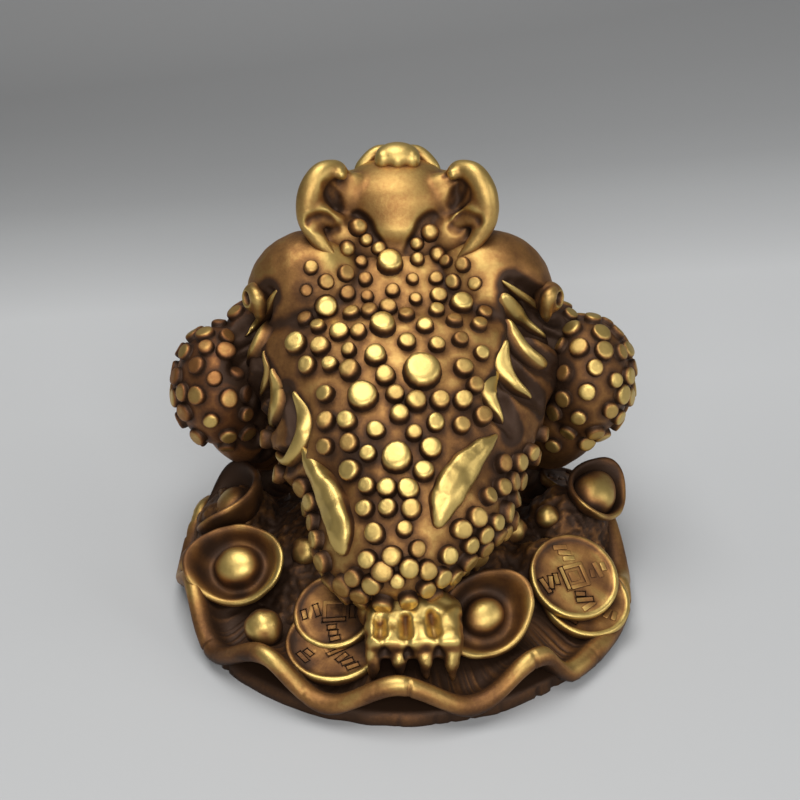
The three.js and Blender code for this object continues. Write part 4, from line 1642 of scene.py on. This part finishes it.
class TOAD_OT_coins(bpy.types.Operator):
    """Round coins with a raised rim, a square frame and shallow strokes that aren't letters."""

    bl_idname = "toad.coins"
    bl_label = "Coins"

    def execute(self, context):
        for number, (x, y, z, lean, share, clear) in enumerate(COINS):
            shape = new_shape()
            radius, half = size("coin_radius") * share, size("coin_thickness") / 2
            centre = on_leaf(x, y, z)
            under = [(0, -half, 0.1), (radius - 0.5, -half, 0.2), (radius, -half + 0.4, 0.4)]
            rim = [(radius + out, half + rise, worn) for out, rise, worn in COIN_RIM]
            face = [(radius * share, half + rise, worn) for share, rise, worn in COIN_FACE]
            turned(shape, under + rim + face, steps=72)
            self.strokes(shape, radius, half - 0.2 * (1 - clear), number)
            wear = shape.verts.layers.float["wear"]
            for vert in shape.verts:
                patch = noise.noise(vert.co * 0.3 + Vector((number * 9, 0, 0)))
                vert.co.z += 0.12 * noise.noise(vert.co * 0.6 + Vector((0, number * 9, 0)))
                vert[wear] += 0.35 * patch - 0.14 * (1 - clear)
            placed(shape.verts, centre, tilted(*lean), COIN_TURN + COIN_TURN_STEP * number)
            # Painted highlight on the coin's rim where it faces down the picture, painted shade elsewhere
            paint_highlight_low_side(shape.verts, wear, centre, radius, gain=0.4)
            cast(object_of(f"coin_{number + 1}", shape), brass(f"brass of coin {number + 1}", grit=0.8))
        return {"FINISHED"}

    def strokes(self, shape, radius, half, number):
        """A square frame with a block in it, and three blunt strokes on each side of it."""
        frame_half = radius * 0.24
        block_half = frame_half * 0.5
        outwards = radius * 0.58
        bar(shape, (0, 0, half), (block_half, block_half, BAR_HEIGHT), 0, STROKE_WEAR)
        for k in range(4):
            turn = 90 * k
            cos, sin = math.cos(math.radians(turn)), math.sin(math.radians(turn))
            centre = (frame_half * cos, frame_half * sin, half + 0.1)
            bar(shape, centre, (BAR_HALF, frame_half + 0.4, BAR_HEIGHT), turn, FRAME_WEAR)
            for j in range(3):
                seed = number * 20 + k * 4 + j
                offset = (j - 1) * radius * 0.15
                reach, aside = outwards + offset, 0.3 * offset
                spot = (reach * cos - aside * sin, reach * sin + aside * cos, half + 0.04)
                half_length = radius * (0.1 + 0.1 * scatter(seed))
                slant = 40 * (scatter(seed + 0.5) - 0.5)
                bar(shape, spot, (STROKE_HALF, half_length, BAR_HEIGHT), turn + slant, STROKE_WEAR)


class TOAD_OT_pearls(bpy.types.Operator):
    """Round pearls lying between the coins."""

    bl_idname = "toad.pearls"
    bl_label = "Pearls"

    def execute(self, context):
        for number, (x, y, z, share) in enumerate(PEARLS):
            shape = new_shape()
            radius = size("pearl_radius") * share
            centre = on_leaf(x, y, z)
            wear = shape.verts.layers.float["wear"]
            for vert in egg(shape, centre, (radius, radius, radius), around=36, rings=24):
                away = (vert.co - centre) / radius
                dent = noise.noise(away * 1.6 + Vector((number * 5, 0, 0)))
                vert.co += away * dent * 0.06 * radius
                # Painted highlight: the side of a pearl that faces the camera is lighter
                brightening = float(eased(away.dot(-LOOK), low=0.1, high=0.9))
                vert[wear] = 0.2 + 0.55 * brightening + 0.3 * dent
            cast(object_of(f"pearl_{number + 1}", shape), brass(f"brass of pearl {number + 1}", grit=0.7))
        return {"FINISHED"}


# Stage, in metres

# The table and the backdrop that it bends up into: y, z
TABLE_PROFILE = (
    (-1.2, 0),
    (0.10, 0),
    (0.2, 0.004),
    (0.26, 0.025),
    (0.30, 0.07),
    (0.32, 0.14),
    (0.33, 1.2),
)
TABLE_BREADTH = 3.2
# Its greys along the way back, which drifts a little to one side; painted shade darkens them up the backdrop
TABLE_GREYS_AND_SHADE = (
    (0.0, 0.47),
    (0.1, 0.49),
    (0.2, 0.52),
    (0.34, 0.52),
    (0.38, 0.46),
    (0.42, 0.4),
    (0.46, 0.34),
    (0.5, 0.27),
    (0.54, 0.225),
    (0.6, 0.175),
    (0.64, 0.15),
    (0.9, 0.16),
)
COOLNESS = (1, 1.025, 1.055)
WAY_BACK = 2.5
DRIFT = -0.35
# Lamps: name, place, breadth, height, watts, colour
LAMPS = (
    ("softbox above", (-0.10, -0.02, 0.75), 0.60, 0.45, 4.0, (1, 0.985, 0.96)),
    ("window behind the camera", (0.05, -0.80, 0.50), 0.6, 0.5, 5.0, (1, 0.99, 0.97)),
    ("fill on the right", (0.65, -0.3, 0.35), 0.4, 0.4, 1.3, (1, 1, 1)),
)
LAMP_AIM = Vector((0, 0, 0.05))
ROOM_LIGHT = (0.64, 0.635, 0.62, 1)
ROOM_STRENGTH = 0.30
# The lens in millimetres, on a sensor of the usual 36
LENS = 90
SENSOR = 36


class TOAD_OT_stage(bpy.types.Operator):
    """Pale table, backdrop, soft lights and the camera."""

    bl_idname = "toad.stage"
    bl_label = "Stage"

    def execute(self, context):
        self.table(context)
        for lamp in LAMPS:
            self.lamp(context, *lamp)
        self.room(context)
        self.camera(context)
        context.scene.view_settings.view_transform = "Standard"
        return {"FINISHED"}

    def table(self, context):
        shape = bmesh.new()
        verts = [shape.verts.new((-TABLE_BREADTH / 2, y, z)) for y, z in TABLE_PROFILE]
        edges = [shape.edges.new(pair) for pair in zip(verts, verts[1:])]
        grown = bmesh.ops.extrude_edge_only(shape, edges=edges)["geom"]
        far = [item for item in grown if isinstance(item, bmesh.types.BMVert)]
        bmesh.ops.translate(shape, vec=(TABLE_BREADTH, 0, 0), verts=far)
        bmesh.ops.recalc_face_normals(shape, faces=shape.faces)
        mesh = bpy.data.meshes.new("table")
        shape.to_mesh(mesh)
        shape.free()
        if mesh.polygons[0].normal.z < 0:
            mesh.flip_normals()
        mesh.polygons.foreach_set("use_smooth", [True] * len(mesh.polygons))
        mesh.materials.append(self.paint())
        table = bpy.data.objects.new("table", mesh)
        context.scene.collection.objects.link(table)
        bend = table.modifiers.new("bend", "SUBSURF")
        bend.levels = bend.render_levels = 4

    def paint(self):
        """Pale grey, with painted shade that darkens it up the backdrop."""
        material = bpy.data.materials.new("table")
        maker = Nodes(material)
        place = maker.nodes.new("ShaderNodeSeparateXYZ")
        maker.links.new(maker.coords(), place.inputs[0])
        away = maker.math("MULTIPLY", place.outputs["Y"], WAY_BACK)
        away = maker.math("MULTIPLY_ADD", place.outputs["X"], DRIFT, away)
        shades = [(spot, tuple(grey * part for part in COOLNESS)) for spot, grey in TABLE_GREYS_AND_SHADE]
        maker.put(maker.shader.inputs["Base Color"], maker.ramp(away, shades))
        maker.shader.inputs["Roughness"].default_value = 0.6
        return material

    def lamp(self, context, name, place, breadth, height, watts, tone):
        light = bpy.data.lights.new(name, "AREA")
        light.shape = "RECTANGLE"
        light.size, light.size_y = breadth, height
        light.energy = watts
        light.color = tone
        holder = bpy.data.objects.new(name, light)
        context.scene.collection.objects.link(holder)
        holder.location = place
        aim = LAMP_AIM - Vector(place)
        holder.rotation_euler = aim.to_track_quat("-Z", "Y").to_euler()

    def room(self, context):
        world = bpy.data.worlds.new("room")
        world.use_nodes = True
        background = world.node_tree.nodes["Background"]
        background.inputs["Color"].default_value = ROOM_LIGHT
        background.inputs["Strength"].default_value = ROOM_STRENGTH
        context.scene.world = world

    def camera(self, context):
        camera = bpy.data.cameras.new("camera")
        camera.lens = LENS
        camera.sensor_width = SENSOR
        camera.clip_start = 0.01
        view = bpy.data.objects.new("camera", camera)
        context.scene.collection.objects.link(view)
        view.location = EYE * MM
        view.rotation_euler = (math.radians(90) - TILT, 0, 0)
        context.scene.camera = view


class TOAD_PT_panel(bpy.types.Panel):
    """Buttons for each group of pieces."""

    bl_idname = "TOAD_PT_panel"
    bl_label = "Brass money toad"
    bl_space_type = "VIEW_3D"
    bl_region_type = "UI"
    bl_category = "Toad"

    def draw(self, context):
        for operator in OPERATORS:
            self.layout.operator(operator.bl_idname)


OPERATORS = (
    TOAD_OT_stage,
    TOAD_OT_back,
    TOAD_OT_forelegs,
    TOAD_OT_hind_foot,
    TOAD_OT_head,
    TOAD_OT_fins,
    TOAD_OT_warts,
    TOAD_OT_leaf,
    TOAD_OT_heap,
    TOAD_OT_ingots,
    TOAD_OT_coins,
    TOAD_OT_pearls,
)
CLASSES = (ToadSizes, *OPERATORS, TOAD_PT_panel)


def register():
    for made in CLASSES:
        bpy.utils.register_class(made)
    bpy.types.Scene.toad_sizes = bpy.props.PointerProperty(type=ToadSizes)


def unregister():
    del bpy.types.Scene.toad_sizes
    for made in reversed(CLASSES):
        bpy.utils.unregister_class(made)


def main():
    register()
    bpy.ops.toad.stage()
    bpy.ops.toad.back()
    bpy.ops.toad.forelegs()
    bpy.ops.toad.hind_foot()
    bpy.ops.toad.head()
    bpy.ops.toad.fins()
    bpy.ops.toad.warts()
    bpy.ops.toad.leaf()
    bpy.ops.toad.heap()
    bpy.ops.toad.ingots()
    bpy.ops.toad.coins()
    bpy.ops.toad.pearls()


if __name__ == "__main__":
    main()
